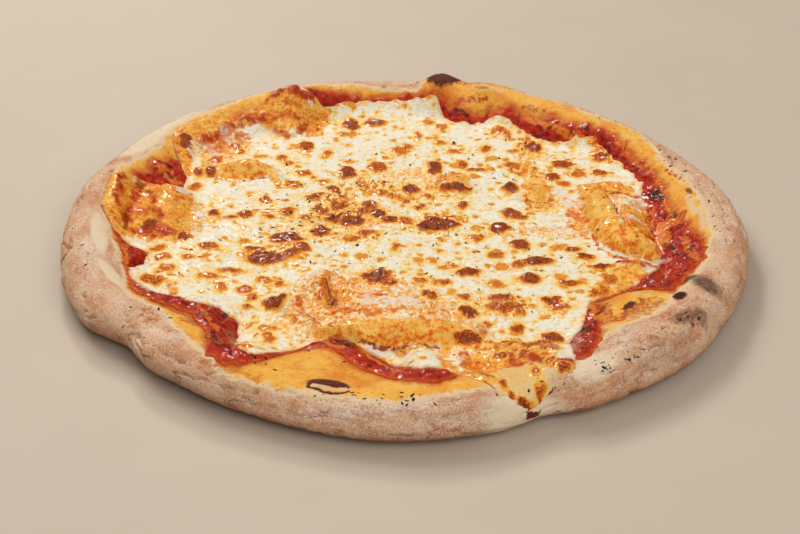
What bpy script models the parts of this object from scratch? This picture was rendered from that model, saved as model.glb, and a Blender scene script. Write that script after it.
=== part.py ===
"""Margherita pizza, 320 mm across, whole and uncut, lying on its flat baked base.

Three pieces nest in each other: the crust (a thin dough floor with a puffed rim), the tomato
sauce spread on it, and the sheet of melted mozzarella on the sauce. All three are laid out on
the same rings, which follow the cheese's edge, the sauce's edge and the rim round the pizza,
so each layer lies on the one below with the same small gap all over.

Metres, +Z up. The origin is at the middle of the base, on the surface that the pizza lies on.
Angles are in degrees round the pizza, counter-clockwise from +X.
"""

import math

import bmesh
import bpy

MM = 0.001

# Driving sizes of the whole pizza
PIZZA_RADIUS = 160 * MM
RIM_HEIGHT = 19 * MM
FLOOR_THICKNESS = 5 * MM
SAUCE_THICKNESS = 1.2 * MM
CHEESE_THICKNESS = 3.0 * MM
CHEESE_LIP_THICKNESS = 1.0 * MM
LAYER_GAP = 0.3 * MM

# How the rim is puffed: its crest lies this far inside the outer edge, its side is widest at
# BELLY_HEIGHT, and it curls under to the flat base over UNDERCUT.
CREST_INSET = 12.5 * MM
BELLY_HEIGHT = 8.5 * MM
UNDERCUT = 15 * MM
RIM_FOOT_UNDER_CHEESE = 9 * MM

# Mean reach of the cheese and of the sauce from the middle
CHEESE_REACH = 131 * MM
SAUCE_REACH = 138.5 * MM
LEAST_SAUCE_BAND = 3.5 * MM
LEAST_BARE_SLOPE = 4 * MM

# Unevenness along an edge, as (angle, half width in degrees, change in mm). In the cheese and
# sauce a bay is negative, where blistered dough has pushed the layer back, and a tongue is
# positive. UNDERSIDE_RISE lifts the side of the rim where it has curled up off its base.
OUTER_EDGE = [(2, 30, 2.5), (60, 22, -1.5), (138, 24, 2.5), (186, 20, -1.5), (220, 9, -5.0),
              (232, 28, -3.0), (269, 20, 3.0), (292, 8, -4.0), (318, 16, 1.5)]
CHEESE_EDGE = [(2, 13, -8), (52, 9, -4), (76, 5, -7), (84, 5, 6), (116, 10, 10), (138, 10, 7),
               (154, 6, -11), (192, 6, -10), (221, 15, -26), (256, 13, -30), (274, 6, -14),
               (290, 9, 14), (322, 17, -26), (340, 7, -10)]
SAUCE_EDGE = [(52, 12, 2.5), (77, 6, -5), (114, 8, 10), (170, 10, 1.5), (218, 13, -18),
              (242, 7, 5), (257, 13, -28), (273, 6, -6), (290, 9, 10), (321, 16, -30)]
CREST_RISE = [(82, 6, 6.0), (72, 11, 2.5), (60, 32, 1.5), (112, 24, 2.5), (168, 14, 1.5),
              (222, 9, -2.0), (258, 16, -1.5), (289, 9, -4.0), (330, 20, 1.5)]
UNDERSIDE_RISE = [(228, 28, 3.0)]

# Blisters and folds that lift the dough with its layers, as (name, x, y, half length, half
# width, turn in degrees, height), in mm.
BLISTERS = [
    ("left blister", -114, 20, 34, 18, 96, 9.0),
    ("upper left blister", -60, 122, 24, 17, 80, 9.0),
    ("upper left fold", -78, 60, 17, 10, 8, 4.5),
    ("back fold", 38, 143, 20, 11, -20, 6.0),
    ("upper right blister", 93, 101, 21, 12, -38, 5.0),
    ("right fold", 116, 80, 16, 7, -65, 3.5),
    ("right swirl", 104, 6, 36, 17, 100, 6.0),
    ("middle right crust", 64, 38, 17, 12, 60, 3.0),
    ("middle crust", 24, 48, 18, 12, -10, 2.5),
    ("front swirl", -4, -74, 36, 24, 4, 6.5),
    ("front swirl lip", 0, -92, 30, 8, 2, 4.0),
    ("front dome", -32, -118, 32, 15, 6, 5.0),
    ("front right lobe", 101, -66, 27, 13, 32, 5.0),
]

# Rings of the shared layout
STEPS_ROUND = 100
CHEESE_RINGS = (0.12, 0.26, 0.39, 0.51, 0.61, 0.70, 0.79, 0.88, 0.95, 1.0)
SAUCE_RINGS = (0.5, 1.0)
SLOPE_RINGS = (0.33, 0.68, 1.0)
OUTER_TURNS = (30, 60, 90)
UNDER_TURNS = (35, 65, 90)


def smooth_bump(distance):
    """1 at distance 0, falling smoothly to 0 at distance 1 and beyond."""
    return math.cos(min(distance, 1.0) * math.pi / 2) ** 2


def along_edge(angle, features):
    """Sum of an edge's bays and tongues at one angle, in metres."""
    total = 0.0
    for centre, half_width, change in features:
        away = abs((angle - centre + 180) % 360 - 180)
        total += change * MM * smooth_bump(away / half_width)
    return total


def blister_lift(x, y):
    """How far the blisters lift the dough and its layers at a point."""
    lift = 0.0
    for _, centre_x, centre_y, half_length, half_width, turn, height in BLISTERS:
        dx, dy = x - centre_x * MM, y - centre_y * MM
        c, s = math.cos(math.radians(turn)), math.sin(math.radians(turn))
        along = (dx * c + dy * s) / (half_length * MM)
        across = (dy * c - dx * s) / (half_width * MM)
        lift = max(lift, height * MM * smooth_bump(math.hypot(along, across)) ** 0.8)
    return lift


class Section:
    """The pizza's radii and heights along one spoke."""

    def __init__(self, angle):
        self.angle = angle
        self.outer = PIZZA_RADIUS + along_edge(angle, OUTER_EDGE)
        self.crest = self.outer - CREST_INSET
        self.crest_height = RIM_HEIGHT + along_edge(angle, CREST_RISE)
        self.belly_height = BELLY_HEIGHT + along_edge(angle, UNDERSIDE_RISE)
        self.sauce = min(SAUCE_REACH + along_edge(angle, SAUCE_EDGE), self.crest - LEAST_BARE_SLOPE)
        self.cheese = min(CHEESE_REACH + along_edge(angle, CHEESE_EDGE), self.sauce - LEAST_SAUCE_BAND)
        self.foot = self.cheese - RIM_FOOT_UNDER_CHEESE

    def point(self, radius, height):
        turn = math.radians(self.angle)
        return (radius * math.cos(turn), radius * math.sin(turn), height)

    def dough_top(self, radius):
        """Height of the dough's upper face, from the middle out to the crest of the rim."""
        climb = min(max((radius - self.foot) / (self.crest - self.foot), 0.0), 1.0)
        rise = (1 - math.cos(math.pi * climb)) / 2
        x, y, _ = self.point(radius, 0)
        lift = blister_lift(x, y) * (1 - rise) ** 0.5
        return FLOOR_THICKNESS + (self.crest_height - FLOOR_THICKNESS) * rise + lift

    def cheese_radii(self):
        return [share * self.cheese for share in CHEESE_RINGS]

    def sauce_radii(self):
        band = self.sauce - self.cheese
        return self.cheese_radii() + [self.cheese + share * band for share in SAUCE_RINGS]

    def crust_points(self):
        """The crust's outline from near the middle of its top, over the rim, to its flat base."""
        slope = self.crest - self.sauce
        radii = self.sauce_radii() + [self.sauce + share * slope for share in SLOPE_RINGS]
        points = [self.point(r, self.dough_top(r)) for r in radii]
        for turn in OUTER_TURNS:
            t = math.radians(turn)
            points.append(self.point(
                self.crest + CREST_INSET * math.sin(t),
                self.belly_height + (self.crest_height - self.belly_height) * math.cos(t)))
        for turn in UNDER_TURNS:
            t = math.radians(turn)
            points.append(self.point(
                self.outer - UNDERCUT * (1 - math.cos(t)), self.belly_height * (1 - math.sin(t))))
        return points


def layer_points(section, radii, bottom, thickness):
    """A layer's outline on one spoke: its top from the middle to the edge, then its underside.
    bottom is the gap between the dough and the layer, and thickness its height at a radius."""
    top = [section.point(r, section.dough_top(r) + bottom(r) + thickness(r)) for r in radii]
    under = [section.point(r, section.dough_top(r) + bottom(r)) for r in reversed(radii)]
    return top + under


def lofted_solid(name, spokes, top_height, base_height, colour, roughness):
    """A closed solid through the same number of points on each spoke, with a middle vertex
    above and one below."""
    mesh = bmesh.new()
    rows = [[mesh.verts.new(point) for point in spoke] for spoke in spokes]
    top = mesh.verts.new((0, 0, top_height))
    base = mesh.verts.new((0, 0, base_height))
    for row, after in zip(rows, rows[1:] + rows[:1]):
        mesh.faces.new((top, row[0], after[0]))
        for i in range(len(row) - 1):
            mesh.faces.new((row[i], row[i + 1], after[i + 1], after[i]))
        mesh.faces.new((base, after[-1], row[-1]))
    bmesh.ops.recalc_face_normals(mesh, faces=mesh.faces)
    bmesh.ops.triangulate(mesh, faces=mesh.faces)
    data = bpy.data.meshes.new(name)
    mesh.to_mesh(data)
    mesh.free()
    data.shade_smooth()
    solid = bpy.data.objects.new(name, data)
    bpy.context.scene.collection.objects.link(solid)
    material = bpy.data.materials.new(name)
    material.use_nodes = True
    shader = material.node_tree.nodes["Principled BSDF"]
    shader.inputs["Base Color"].default_value = (*colour, 1)
    shader.inputs["Roughness"].default_value = roughness
    data.materials.append(material)
    return solid


def centre_on_base(solids):
    """Moves the pizza sideways so that its bounding box is centred on the origin."""
    points = [v.co for solid in solids for v in solid.data.vertices]
    shift_x = -(min(p.x for p in points) + max(p.x for p in points)) / 2
    shift_y = -(min(p.y for p in points) + max(p.y for p in points)) / 2
    for solid in solids:
        for vertex in solid.data.vertices:
            vertex.co.x += shift_x
            vertex.co.y += shift_y


def build():
    for old in list(bpy.data.objects):
        bpy.data.objects.remove(old)
    sections = [Section(i * 360 / STEPS_ROUND) for i in range(STEPS_ROUND)]
    floor_top = sections[0].dough_top(0)
    sauce_bottom = LAYER_GAP
    cheese_bottom = LAYER_GAP + SAUCE_THICKNESS + LAYER_GAP

    crust = lofted_solid(
        "crust", [s.crust_points() for s in sections], floor_top, 0, (0.72, 0.48, 0.27), 0.8)

    sauce = lofted_solid(
        "tomato_sauce",
        [layer_points(s, s.sauce_radii(), lambda r: sauce_bottom, lambda r: SAUCE_THICKNESS)
         for s in sections],
        floor_top + sauce_bottom + SAUCE_THICKNESS, floor_top + sauce_bottom,
        (0.45, 0.04, 0.015), 0.25)

    def cheese_thickness(section, radius):
        edge = smooth_bump((section.cheese - radius) / (14 * MM))
        return CHEESE_THICKNESS + (CHEESE_LIP_THICKNESS - CHEESE_THICKNESS) * edge

    mozzarella = lofted_solid(
        "mozzarella",
        [layer_points(s, s.cheese_radii(), lambda r: cheese_bottom,
                      lambda r, s=s: cheese_thickness(s, r)) for s in sections],
        floor_top + cheese_bottom + CHEESE_THICKNESS, floor_top + cheese_bottom,
        (0.85, 0.74, 0.48), 0.3)
    centre_on_base([crust, sauce, mozzarella])


build()
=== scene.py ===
import bpy
import numpy as np
from mathutils import Matrix, Vector, noise
from mathutils.bvhtree import BVHTree
from mathutils.kdtree import KDTree


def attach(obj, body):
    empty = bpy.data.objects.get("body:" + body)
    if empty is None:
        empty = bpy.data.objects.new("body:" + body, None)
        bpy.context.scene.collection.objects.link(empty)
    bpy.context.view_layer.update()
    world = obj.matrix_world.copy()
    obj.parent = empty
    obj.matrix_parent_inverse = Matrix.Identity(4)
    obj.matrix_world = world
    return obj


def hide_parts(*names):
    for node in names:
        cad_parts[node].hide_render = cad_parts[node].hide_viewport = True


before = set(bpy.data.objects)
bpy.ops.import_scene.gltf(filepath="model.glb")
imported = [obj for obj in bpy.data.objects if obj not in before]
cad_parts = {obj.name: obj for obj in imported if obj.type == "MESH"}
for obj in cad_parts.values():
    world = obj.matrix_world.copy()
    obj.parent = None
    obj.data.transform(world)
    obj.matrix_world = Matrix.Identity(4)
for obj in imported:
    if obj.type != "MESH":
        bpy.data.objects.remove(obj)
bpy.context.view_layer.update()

# ---------------------------------------------------------------------------------------------
# Crust. The dough is hand-stretched wheat dough, thin in the middle and left thick at the edge,
# where it puffs into a rim in the oven. Outside it stays dull and floury with toasted and
# charred places, and inside the rim oil and tomato have dyed it orange.

MM = 0.001
PIZZA_RADIUS = 160 * MM
RIM_HEIGHT = 19 * MM
FLOOR_THICKNESS = 5 * MM
CREST_INSET = 12.5 * MM
BELLY_HEIGHT = 8.5 * MM
UNDERCUT = 15 * MM
RIM_FOOT_UNDER_CHEESE = 9 * MM
FRONT_SLOPE_EASE = 13 * MM
FRONT_SLOPE_CENTRE, FRONT_SLOPE_HALF_WIDTH = 272, 105
LAYER_GAP = 0.3 * MM

CHEESE_REACH = 131 * MM
SAUCE_REACH = 138.5 * MM
LEAST_SAUCE_BAND = 3.5 * MM
LEAST_BARE_SLOPE = 4 * MM

# Unevenness along an edge, as (angle, half width in degrees, change in mm), angles counter-
# clockwise from +X. A bay is negative and a tongue is positive.
OUTER_EDGE = [
    (2, 30, 2.5), (60, 22, -1.5), (138, 24, 2.5), (186, 20, -1.5), (220, 9, -5.0), (232, 28, -3.0),
    (269, 20, 3.0), (292, 8, -4.0), (318, 16, 1.5)]
CHEESE_EDGE = [
    (2, 13, -8), (52, 9, -4), (76, 5, -7), (84, 5, 6), (116, 10, 10), (138, 10, 7), (154, 6, -11),
    (192, 6, -10), (221, 15, -26), (256, 13, -30), (274, 6, -14), (290, 9, 14), (322, 17, -26),
    (340, 7, -10)]
SAUCE_EDGE = [
    (52, 12, 2.5), (77, 6, -5), (114, 8, 10), (170, 10, 1.5), (218, 13, -18), (242, 7, 5),
    (257, 13, -28), (273, 6, -6), (290, 9, 10), (321, 16, -30)]
CREST_RISE = [
    (82, 6, 6.0), (72, 11, 2.5), (60, 32, 1.5), (112, 24, 2.5), (168, 14, 1.5), (222, 9, -2.0),
    (258, 16, -1.5), (289, 9, -4.0), (330, 20, 1.5)]
UNDERSIDE_RISE = [(228, 28, 3.0)]

# Blisters and folds of the dough, as (name, x, y, half length, half width, turn, height) in mm
BLISTERS = [
    ("left blister", -114, 20, 34, 18, 96, 9.0),
    ("upper left blister", -60, 122, 24, 17, 80, 9.0),
    ("upper left fold", -78, 60, 17, 10, 8, 4.5),
    ("back fold", 38, 143, 20, 11, -20, 6.0),
    ("upper right blister", 93, 101, 21, 12, -38, 5.0),
    ("right fold", 116, 80, 16, 7, -65, 3.5),
    ("right swirl", 104, 6, 36, 17, 100, 6.0),
    ("middle right crust", 64, 38, 17, 12, 60, 3.0),
    ("middle crust", 24, 48, 18, 12, -10, 2.5),
    ("front swirl", -4, -74, 36, 24, 4, 6.5),
    ("front swirl lip", 0, -92, 30, 8, 2, 4.0),
    ("front dome", -32, -118, 32, 15, 6, 3.0),
    ("front right lobe", 101, -66, 27, 13, 32, 5.0),
]


def smooth_bump(distance):
    """1 at distance 0, falling smoothly to 0 at distance 1 and beyond."""
    return np.cos(np.clip(distance, 0, 1) * np.pi / 2) ** 2


def ramp(low, high, value):
    """0 below low, 1 above high, and a smooth step between them."""
    share = np.clip((value - low) / (high - low), 0, 1)
    return share * share * (3 - 2 * share)


def along_edge(angle, features):
    """Sum of an edge's bays and tongues at these angles, in metres."""
    total = np.zeros_like(angle)
    for centre, half_width, change in features:
        away = np.abs((angle - centre + 180) % 360 - 180)
        total += change * MM * smooth_bump(away / half_width)
    return total


def drawn_line(angle, outline):
    """Radius in metres of a drawn outline, given as (angle, radius in mm) points."""
    places, radii = np.array(outline, dtype=float).T
    spread = np.linspace(-1.0, 1.0, 5)
    total = sum(np.interp(angle + away, places, radii, period=360) for away in spread)
    return total / len(spread) * MM


def wander(angle, seed, fewest, most, size):
    """A ragged line round the pizza: waves of every number from fewest to most, in metres."""
    phases = np.random.default_rng(seed).uniform(0, 2 * np.pi, most - fewest)
    total = np.zeros_like(angle)
    for waves, phase in zip(range(fewest, most), phases):
        total += np.sin(np.radians(angle) * waves + phase) * fewest / waves
    return total * size * MM / np.sqrt(fewest)


def ellipse_distance(x, y, centre_x, centre_y, half_length, half_width, turn):
    """Distance from the middle of an ellipse in shares of its size: 1 on its edge."""
    dx, dy = x - centre_x * MM, y - centre_y * MM
    c, s = np.cos(np.radians(turn)), np.sin(np.radians(turn))
    return np.hypot((dx * c + dy * s) / (half_length * MM), (dy * c - dx * s) / (half_width * MM))


def patches(x, y, places):
    """Strongest of these (x, y, half length, half width, turn, strength) patches: 0 to 1."""
    level = np.zeros_like(x)
    for *place, strength in places:
        level = np.maximum(level, strength * ramp(1.35, 0.45, ellipse_distance(x, y, *place)))
    return level


def strokes(x, y, places):
    """Strongest of these (half width, strength, (x, y), (x, y) ...) strokes in mm: 0 to 1."""
    level = np.zeros_like(x)
    for half_width, strength, *path in places:
        for (x0, y0), (x1, y1) in zip(path, path[1:]):
            dx, dy = (x1 - x0) * MM, (y1 - y0) * MM
            along = np.clip(((x - x0 * MM) * dx + (y - y0 * MM) * dy) / (dx * dx + dy * dy), 0, 1)
            away = np.hypot(x - x0 * MM - along * dx, y - y0 * MM - along * dy)
            level = np.maximum(level, strength * ramp(1.4, 0.4, away / (half_width * MM)))
    return level


def edge_distance(x, y, line):
    """Distance in metres to the closed line of that radius by angle: positive inside it."""
    around = np.arange(0, 360, 0.2)
    tree = KDTree(len(around))
    for index, (angle, radius) in enumerate(zip(np.radians(around), line(around))):
        tree.insert((radius * np.cos(angle), radius * np.sin(angle), 0), index)
    tree.balance()
    away = np.array([tree.find((px, py, 0))[2] for px, py in zip(x.ravel(), y.ravel())])
    inside = np.hypot(x, y) < line(np.degrees(np.arctan2(y, x)) % 360)
    return np.where(inside, 1, -1) * away.reshape(x.shape)


def lumps(points, size, seed, octaves=3):
    """Lumpy relief from about -1 to 1 at each point, with lumps of about that size in mm."""
    shift = Vector((seed * 7.31, seed * 3.17, seed * 5.93))
    scale = 1 / (size * MM)
    return np.array([noise.fractal(Vector(p) * scale + shift, 1.0, 2.0, octaves)
                     for p in points.reshape(-1, 3).tolist()]).reshape(points.shape[:-1])


def outer_edge(angle):
    return PIZZA_RADIUS + along_edge(angle, OUTER_EDGE)


def crest_line(angle):
    return outer_edge(angle) - CREST_INSET


def crest_height(angle):
    return RIM_HEIGHT + along_edge(angle, CREST_RISE)


def belly_height(angle):
    return BELLY_HEIGHT + along_edge(angle, UNDERSIDE_RISE)


def sauce_line(angle):
    return np.minimum(SAUCE_REACH + along_edge(angle, SAUCE_EDGE),
                      crest_line(angle) - LEAST_BARE_SLOPE)


def cheese_line(angle):
    return np.minimum(CHEESE_REACH + along_edge(angle, CHEESE_EDGE),
                      sauce_line(angle) - LEAST_SAUCE_BAND)


def dough_top(x, y):
    """Height of the dough's upper face: flat in the middle, up the rim and over its crest."""
    angle = np.degrees(np.arctan2(y, x)) % 360
    radius = np.hypot(x, y)
    crest, height, belly = crest_line(angle), crest_height(angle), belly_height(angle)
    front = smooth_bump(np.abs(angle - FRONT_SLOPE_CENTRE) / FRONT_SLOPE_HALF_WIDTH)
    foot = cheese_line(angle) - RIM_FOOT_UNDER_CHEESE - FRONT_SLOPE_EASE * front
    climb = np.clip((radius - foot) / (crest - foot), 0, 1)
    hollow, full = (1 - np.cos(np.pi * climb)) / 2, np.sin(np.pi / 2 * climb) ** 1.3
    rise = (1 - front) * hollow + front * full
    lift = np.zeros_like(x)
    for _, *place, blister_height in BLISTERS:
        dome = smooth_bump(ellipse_distance(x, y, *place)) ** 0.8
        lift = np.maximum(lift, blister_height * MM * dome)
    inside = FLOOR_THICKNESS + (height - FLOOR_THICKNESS) * rise + lift * (1 - rise) ** 0.5
    over = np.clip((radius - crest) / CREST_INSET, 0, 1)
    outside = belly + (height - belly) * np.sqrt(1 - over ** 2)
    return np.where(radius < crest, inside, outside)


def mesh_piece(name, points, faces, fields=None):
    """A smooth-shaded mesh object from arrays, with named values at its points."""
    mesh = bpy.data.meshes.new(name)
    mesh.from_pydata(points.tolist(), [], faces)
    for field, values in (fields or {}).items():
        kind, slot = ("FLOAT_VECTOR", "vector") if values.ndim == 2 else ("FLOAT", "value")
        mesh.attributes.new(field, kind, "POINT").data.foreach_set(
            slot, values.astype(np.float32).ravel())
    mesh.shade_smooth()
    piece = bpy.data.objects.new(name, mesh)
    bpy.context.scene.collection.objects.link(piece)
    return piece


def ring(radii, turns, height):
    """Points round the pizza at these radii, at that height or on a surface such as dough_top."""
    x, y = radii * np.cos(turns), radii * np.sin(turns)
    return np.stack([x, y, height(x, y) if callable(height) else height + 0 * x], axis=-1)


def ring_faces(rings, steps, first=0):
    """Four-sided faces between rings of points that each have the same number of steps."""
    row, step = np.meshgrid(np.arange(rings - 1), np.arange(steps), indexing="ij")
    after = (step + 1) % steps
    a, b = first + row * steps + step, first + row * steps + after
    return np.stack([a, b, b + steps, a + steps], axis=-1).reshape(-1, 4)


def fan_faces(ring_start, steps, middle, upwards):
    """Three-sided faces from one ring to its middle point."""
    step = np.arange(steps)
    here, after = ring_start + step, ring_start + (step + 1) % steps
    order = (here, after) if upwards else (after, here)
    return np.stack([*order, np.full(steps, middle)], axis=-1)


def closed(grid, top, base):
    """Points and faces of a grid of rings, closed by a middle point at each of two heights."""
    points = grid.reshape(-1, 3)
    rings, steps = grid.shape[:2]
    faces = ring_faces(rings, steps)[:, ::-1].tolist()
    faces += fan_faces(0, steps, len(points), True).tolist()
    faces += fan_faces((rings - 1) * steps, steps, len(points) + 1, False).tolist()
    return np.vstack([points, [[0, 0, top], [0, 0, base]]]) + CENTRING, faces


def grid_normals(grid):
    """Unit normals of a grid of points (rings, steps, 3) that closes on itself sideways."""
    across = np.gradient(grid, axis=0)
    along = np.roll(grid, -1, axis=1) - np.roll(grid, 1, axis=1)
    normal = np.cross(across, along)
    return normal / np.maximum(np.linalg.norm(normal, axis=-1, keepdims=True), 1e-12)


# How finely the dough is meshed, in steps round it and in rings from the middle to the base
STEPS_ROUND = 1040
SLOPE_RINGS, CREST_RINGS, WALL_RINGS = 44, 24, 14
HIDDEN_UNDER_CHEESE = 7 * MM
HIDDEN_SHARES = np.linspace(0.3, 0.97, 12)
BASE_SHARES = (0.6, 0.2)
BASE_RINGS = len(BASE_SHARES) + 1
angles = np.arange(STEPS_ROUND) * 360 / STEPS_ROUND
turns = np.radians(angles)

crest = crest_line(angles) + wander(angles, seed=3, fewest=20, most=90, size=0.35)
start = cheese_line(angles) - HIDDEN_UNDER_CHEESE
rings = [ring(start * share, turns, dough_top) for share in HIDDEN_SHARES]
rings += [ring(start + (crest - start) * share, turns, dough_top)
          for share in np.linspace(0, 1, SLOPE_RINGS)]
CREST_RING = len(rings) - 1
height, belly, outer = crest_height(angles), belly_height(angles), outer_edge(angles)
for quarter in np.linspace(0, np.pi / 2, CREST_RINGS)[1:]:
    rings.append(ring(crest + CREST_INSET * np.sin(quarter), turns,
                      belly + (height - belly) * np.cos(quarter)))
for quarter in np.linspace(0, np.pi / 2, WALL_RINGS)[1:]:
    rings.append(ring(outer - UNDERCUT * (1 - np.cos(quarter)), turns,
                      belly * (1 - np.sin(quarter))))
rings += [ring((outer - UNDERCUT) * share, turns, 0) for share in BASE_SHARES]
crust_grid = np.stack(rings)

# The whole pizza is moved so that its outline is centred on the frame's origin
low, high = crust_grid.reshape(-1, 3).min(axis=0), crust_grid.reshape(-1, 3).max(axis=0)
CENTRING = np.array([-(low[0] + high[0]) / 2, -(low[1] + high[1]) / 2, 0])

arc = np.linalg.norm(np.diff(crust_grid, axis=0), axis=-1).cumsum(axis=0)
arc = np.concatenate([np.zeros((1, STEPS_ROUND)), arc])
past_crest = arc - arc[CREST_RING]
grid_x, grid_y = crust_grid[..., 0], crust_grid[..., 1]

# Where the sauce ends and where the oil has run to on the rim, as (angle, radius in mm)
SAUCE_OUTLINE = [
    (0, 134), (5, 132), (9, 132), (15, 134), (22, 135), (32, 138), (42, 140), (46, 139), (50, 136),
    (58, 135), (63, 136), (67, 136), (70, 134), (73, 131), (76, 132), (80, 134), (82, 138),
    (85, 140), (94, 139), (103, 139), (107, 141), (111, 147), (117, 147), (121, 140), (130, 139),
    (140, 138), (145, 135), (150, 133), (155, 136), (168, 140), (180, 137), (185, 134), (189, 132),
    (194, 131), (200, 132), (205, 133), (210, 135), (215, 132), (219, 129), (223, 125), (226, 126),
    (230, 129), (234, 136), (237, 145), (241, 149), (244, 146), (246, 138), (247, 126), (249, 118),
    (252, 114), (256, 114), (259, 119), (261, 127), (263, 127), (265, 129), (268, 133), (270, 138),
    (272, 143), (275, 143), (277, 142), (279, 135), (281, 126), (285, 118), (294, 118), (298, 138),
    (300, 144), (303, 144), (306, 138), (309, 131), (312, 126), (316, 120), (320, 112), (325, 106),
    (328, 112), (330, 132), (333, 138), (340, 139), (344, 141), (350, 142), (353, 141), (356, 137)]
OIL_OUTLINE = [
    (0, 143), (8, 144), (16, 144), (21, 142), (25, 144), (32, 148), (37, 150), (42, 149),
    (53, 148), (62, 148), (68, 151), (73, 157), (79, 158), (83, 158), (86, 143), (90, 142),
    (98, 145), (106, 147), (112, 149), (118, 151), (123, 150), (127, 149), (131, 149), (136, 151),
    (141, 149), (146, 145), (150, 142), (154, 141), (158, 143), (163, 145), (169, 142), (178, 141),
    (182, 139), (186, 136), (190, 133), (200, 132), (205, 134), (210, 139), (215, 137), (219, 132),
    (223, 134), (229, 138), (234, 143), (238, 149), (242, 151), (247, 152), (259, 152), (264, 151),
    (268, 154), (273, 152), (278, 150), (281, 150), (283, 148), (285, 141), (288, 132), (295, 126),
    (299, 130), (302, 136), (307, 136), (311, 131), (314, 131), (318, 135), (323, 139), (330, 139),
    (337, 140), (343, 142), (348, 142), (351, 143), (354, 145), (356, 143)]


def sauce_edge(angle):
    ragged = wander(angle, seed=11, fewest=14, most=220, size=1.1) \
        + wander(angle, seed=12, fewest=60, most=260, size=0.8)
    return drawn_line(angle, SAUCE_OUTLINE) + ragged


def oil_edge(angle):
    return drawn_line(angle, OIL_OUTLINE) + wander(angle, seed=5, fewest=14, most=190, size=0.8)


# Places on the rim, as (x, y, half length, half width, turn, strength) in mm: charred, toasted
# and cracked, or white with flour
CHARRED = [
    (42, 137, 5, 1.5, -12, 0.5), (133, -64, 11, 6, 115, 0.62), (120, -74, 3, 2, 70, 0.9),
    (120, -91, 10, 5, 40, 0.5), (106, -112, 24, 9, 42, 0.3), (123, -95, 1.3, 1, 80, 0.9),
    (127, -88, 7, 4, 100, 0.5), (126, -57, 6, 2, 30, 0.8), (134, 60, 7, 1.2, -75, 0.4),
    (139, 30, 4, 1.5, -70, 0.6), (-152, -36, 3, 1.2, 60, 0.6), (-142, 38, 1.5, 2, 0, 0.5)]
SCORCHED = [
    (22, 149, 9, 9, 0, 1.2), (45, 148, 8, 5, -15, 0.6), (120, -74, 4.5, 3.2, 70, 0.75),
    (98, -77, 4, 2, 40, 0.7), (86, -76, 4, 2, 50, 0.5), (53, -150, 3.2, 2.0, 0, 1.1),
    (-29, -142, 8.5, 3.4, -12, 1.3)]
TOASTED_PLACES = [
    (-107, -90, 10, 6, -60, 0.55), (-96, -84, 12, 2.0, -25, 0.9), (-90, -92, 6, 3, -45, 0.7),
    (-78, -128, 6, 3, -40, 0.7), (-147, -44, 6, 4, 80, 0.5), (34, 147, 16, 7, -10, 0.7),
    (58, 140, 16, 5, -25, 0.6), (128, 78, 18, 3, -60, 0.5), (104, -80, 14, 7, 35, 0.7),
    (110, -98, 22, 9, 42, 0.42), (118, -60, 6, 6, 0, 0.5)]
FLOURED_PLACES = [
    (-10, -155, 34, 4, 0, 0.8), (30, -158, 16, 4, 10, 0.6), (147, -18, 6, 8, 0, 0.7),
    (88, -112, 6, 16, -25, 0.7), (-140, -40, 5, 24, 15, 0.6), (-128, 92, 8, 26, -35, 0.6),
    (-100, -105, 14, 3, -45, 0.7), (-118, -85, 10, 3, -50, 0.6), (88, -104, 10, 12, -30, 0.5)]
# Smooth pale dough that carries neither flour nor toasted grain
SMOOTH_PLACES = [
    (-139, -20, 4.5, 22, 12, 1.0), (-127, -57, 4.5, 18, 34, 0.9), (52, -150, 25, 8, 12, 1.0),
    (78, -128, 14, 8, 40, 0.9), (146, 6, 4, 24, 0, 0.5), (-130, 74, 7, 24, -30, 0.95),
    (-122, 97, 12, 34, -38, 0.8), (-90, 118, 18, 3, 38, 0.6)]
# Tomato smeared over the oiled slope, and cheese fat that has set pale on it, as strokes; the
# broad faint pale strokes at the end are painted light on the slope at the back and front right
SMEARED = [
    (2.5, 0.9, (93, -87), (99, -80), (104, -74)), (2.5, 0.8, (88, -72), (90, -86)),
    (3, 0.9, (112, -62), (118, -68)), (2, 0.8, (-47, -116), (-38, -112)),
    (2.5, 0.8, (-12, -126), (-20, -120)), (2, 0.8, (28, 132), (44, 131)),
    (2, 0.6, (-120, -62), (-112, -74)), (2, 0.7, (-98, -82), (-88, -86)),
    (1.2, 0.9, (131, 52), (140, 36)), (2, 0.7, (64, 124), (80, 114)),
    (2, 0.7, (-12, 136), (4, 137)), (2, 0.6, (-134, 30), (-140, 8)),
    (2, 0.7, (84, -66), (94, -62), (104, -64)), (1.5, 0.7, (-76, 136), (-62, 140)),
    (2, 0.8, (134, 14), (132, -2))]
PALE_FAT_AND_PAINTED_LIGHT = [
    (2, 0.9, (138, 26), (139, 8)), (1.6, 0.9, (142, 12), (140, -8)),
    (3, 0.7, (98, -88), (110, -80)), (2.5, 0.7, (86, -90), (94, -94)),
    (2, 0.6, (102, -68), (112, -72)), (1.2, 0.9, (-38, -144), (-20, -145)),
    (2, 0.6, (122, -64), (116, -72)), (2.5, 0.6, (40, 138), (52, 134)),
    # Painted light: broad faint strokes that brighten the oiled slope
    (5, 0.45, (28, 144), (60, 133)), (5, 0.4, (90, -76), (112, -64)),
    (5, 0.45, (84, 118), (104, 104)), (4, 0.4, (-30, 143), (4, 144))]
# The blister that burst at the front: a burned line over it and a pale crack beside the line
SEARED = [(0.45, 1.3, (-37, -143.5), (-30, -146.8), (-24, -148), (-20.5, -146.5))]
CRACKED = [(0.5, 2.2, (-35, -142.6), (-30, -144.5), (-25, -145.7), (-22, -145.2))]
BURNT_BLISTER = (-29, -142, 11, 6, -14)
BURNT_BLISTER_HEIGHT = 2.4

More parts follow.
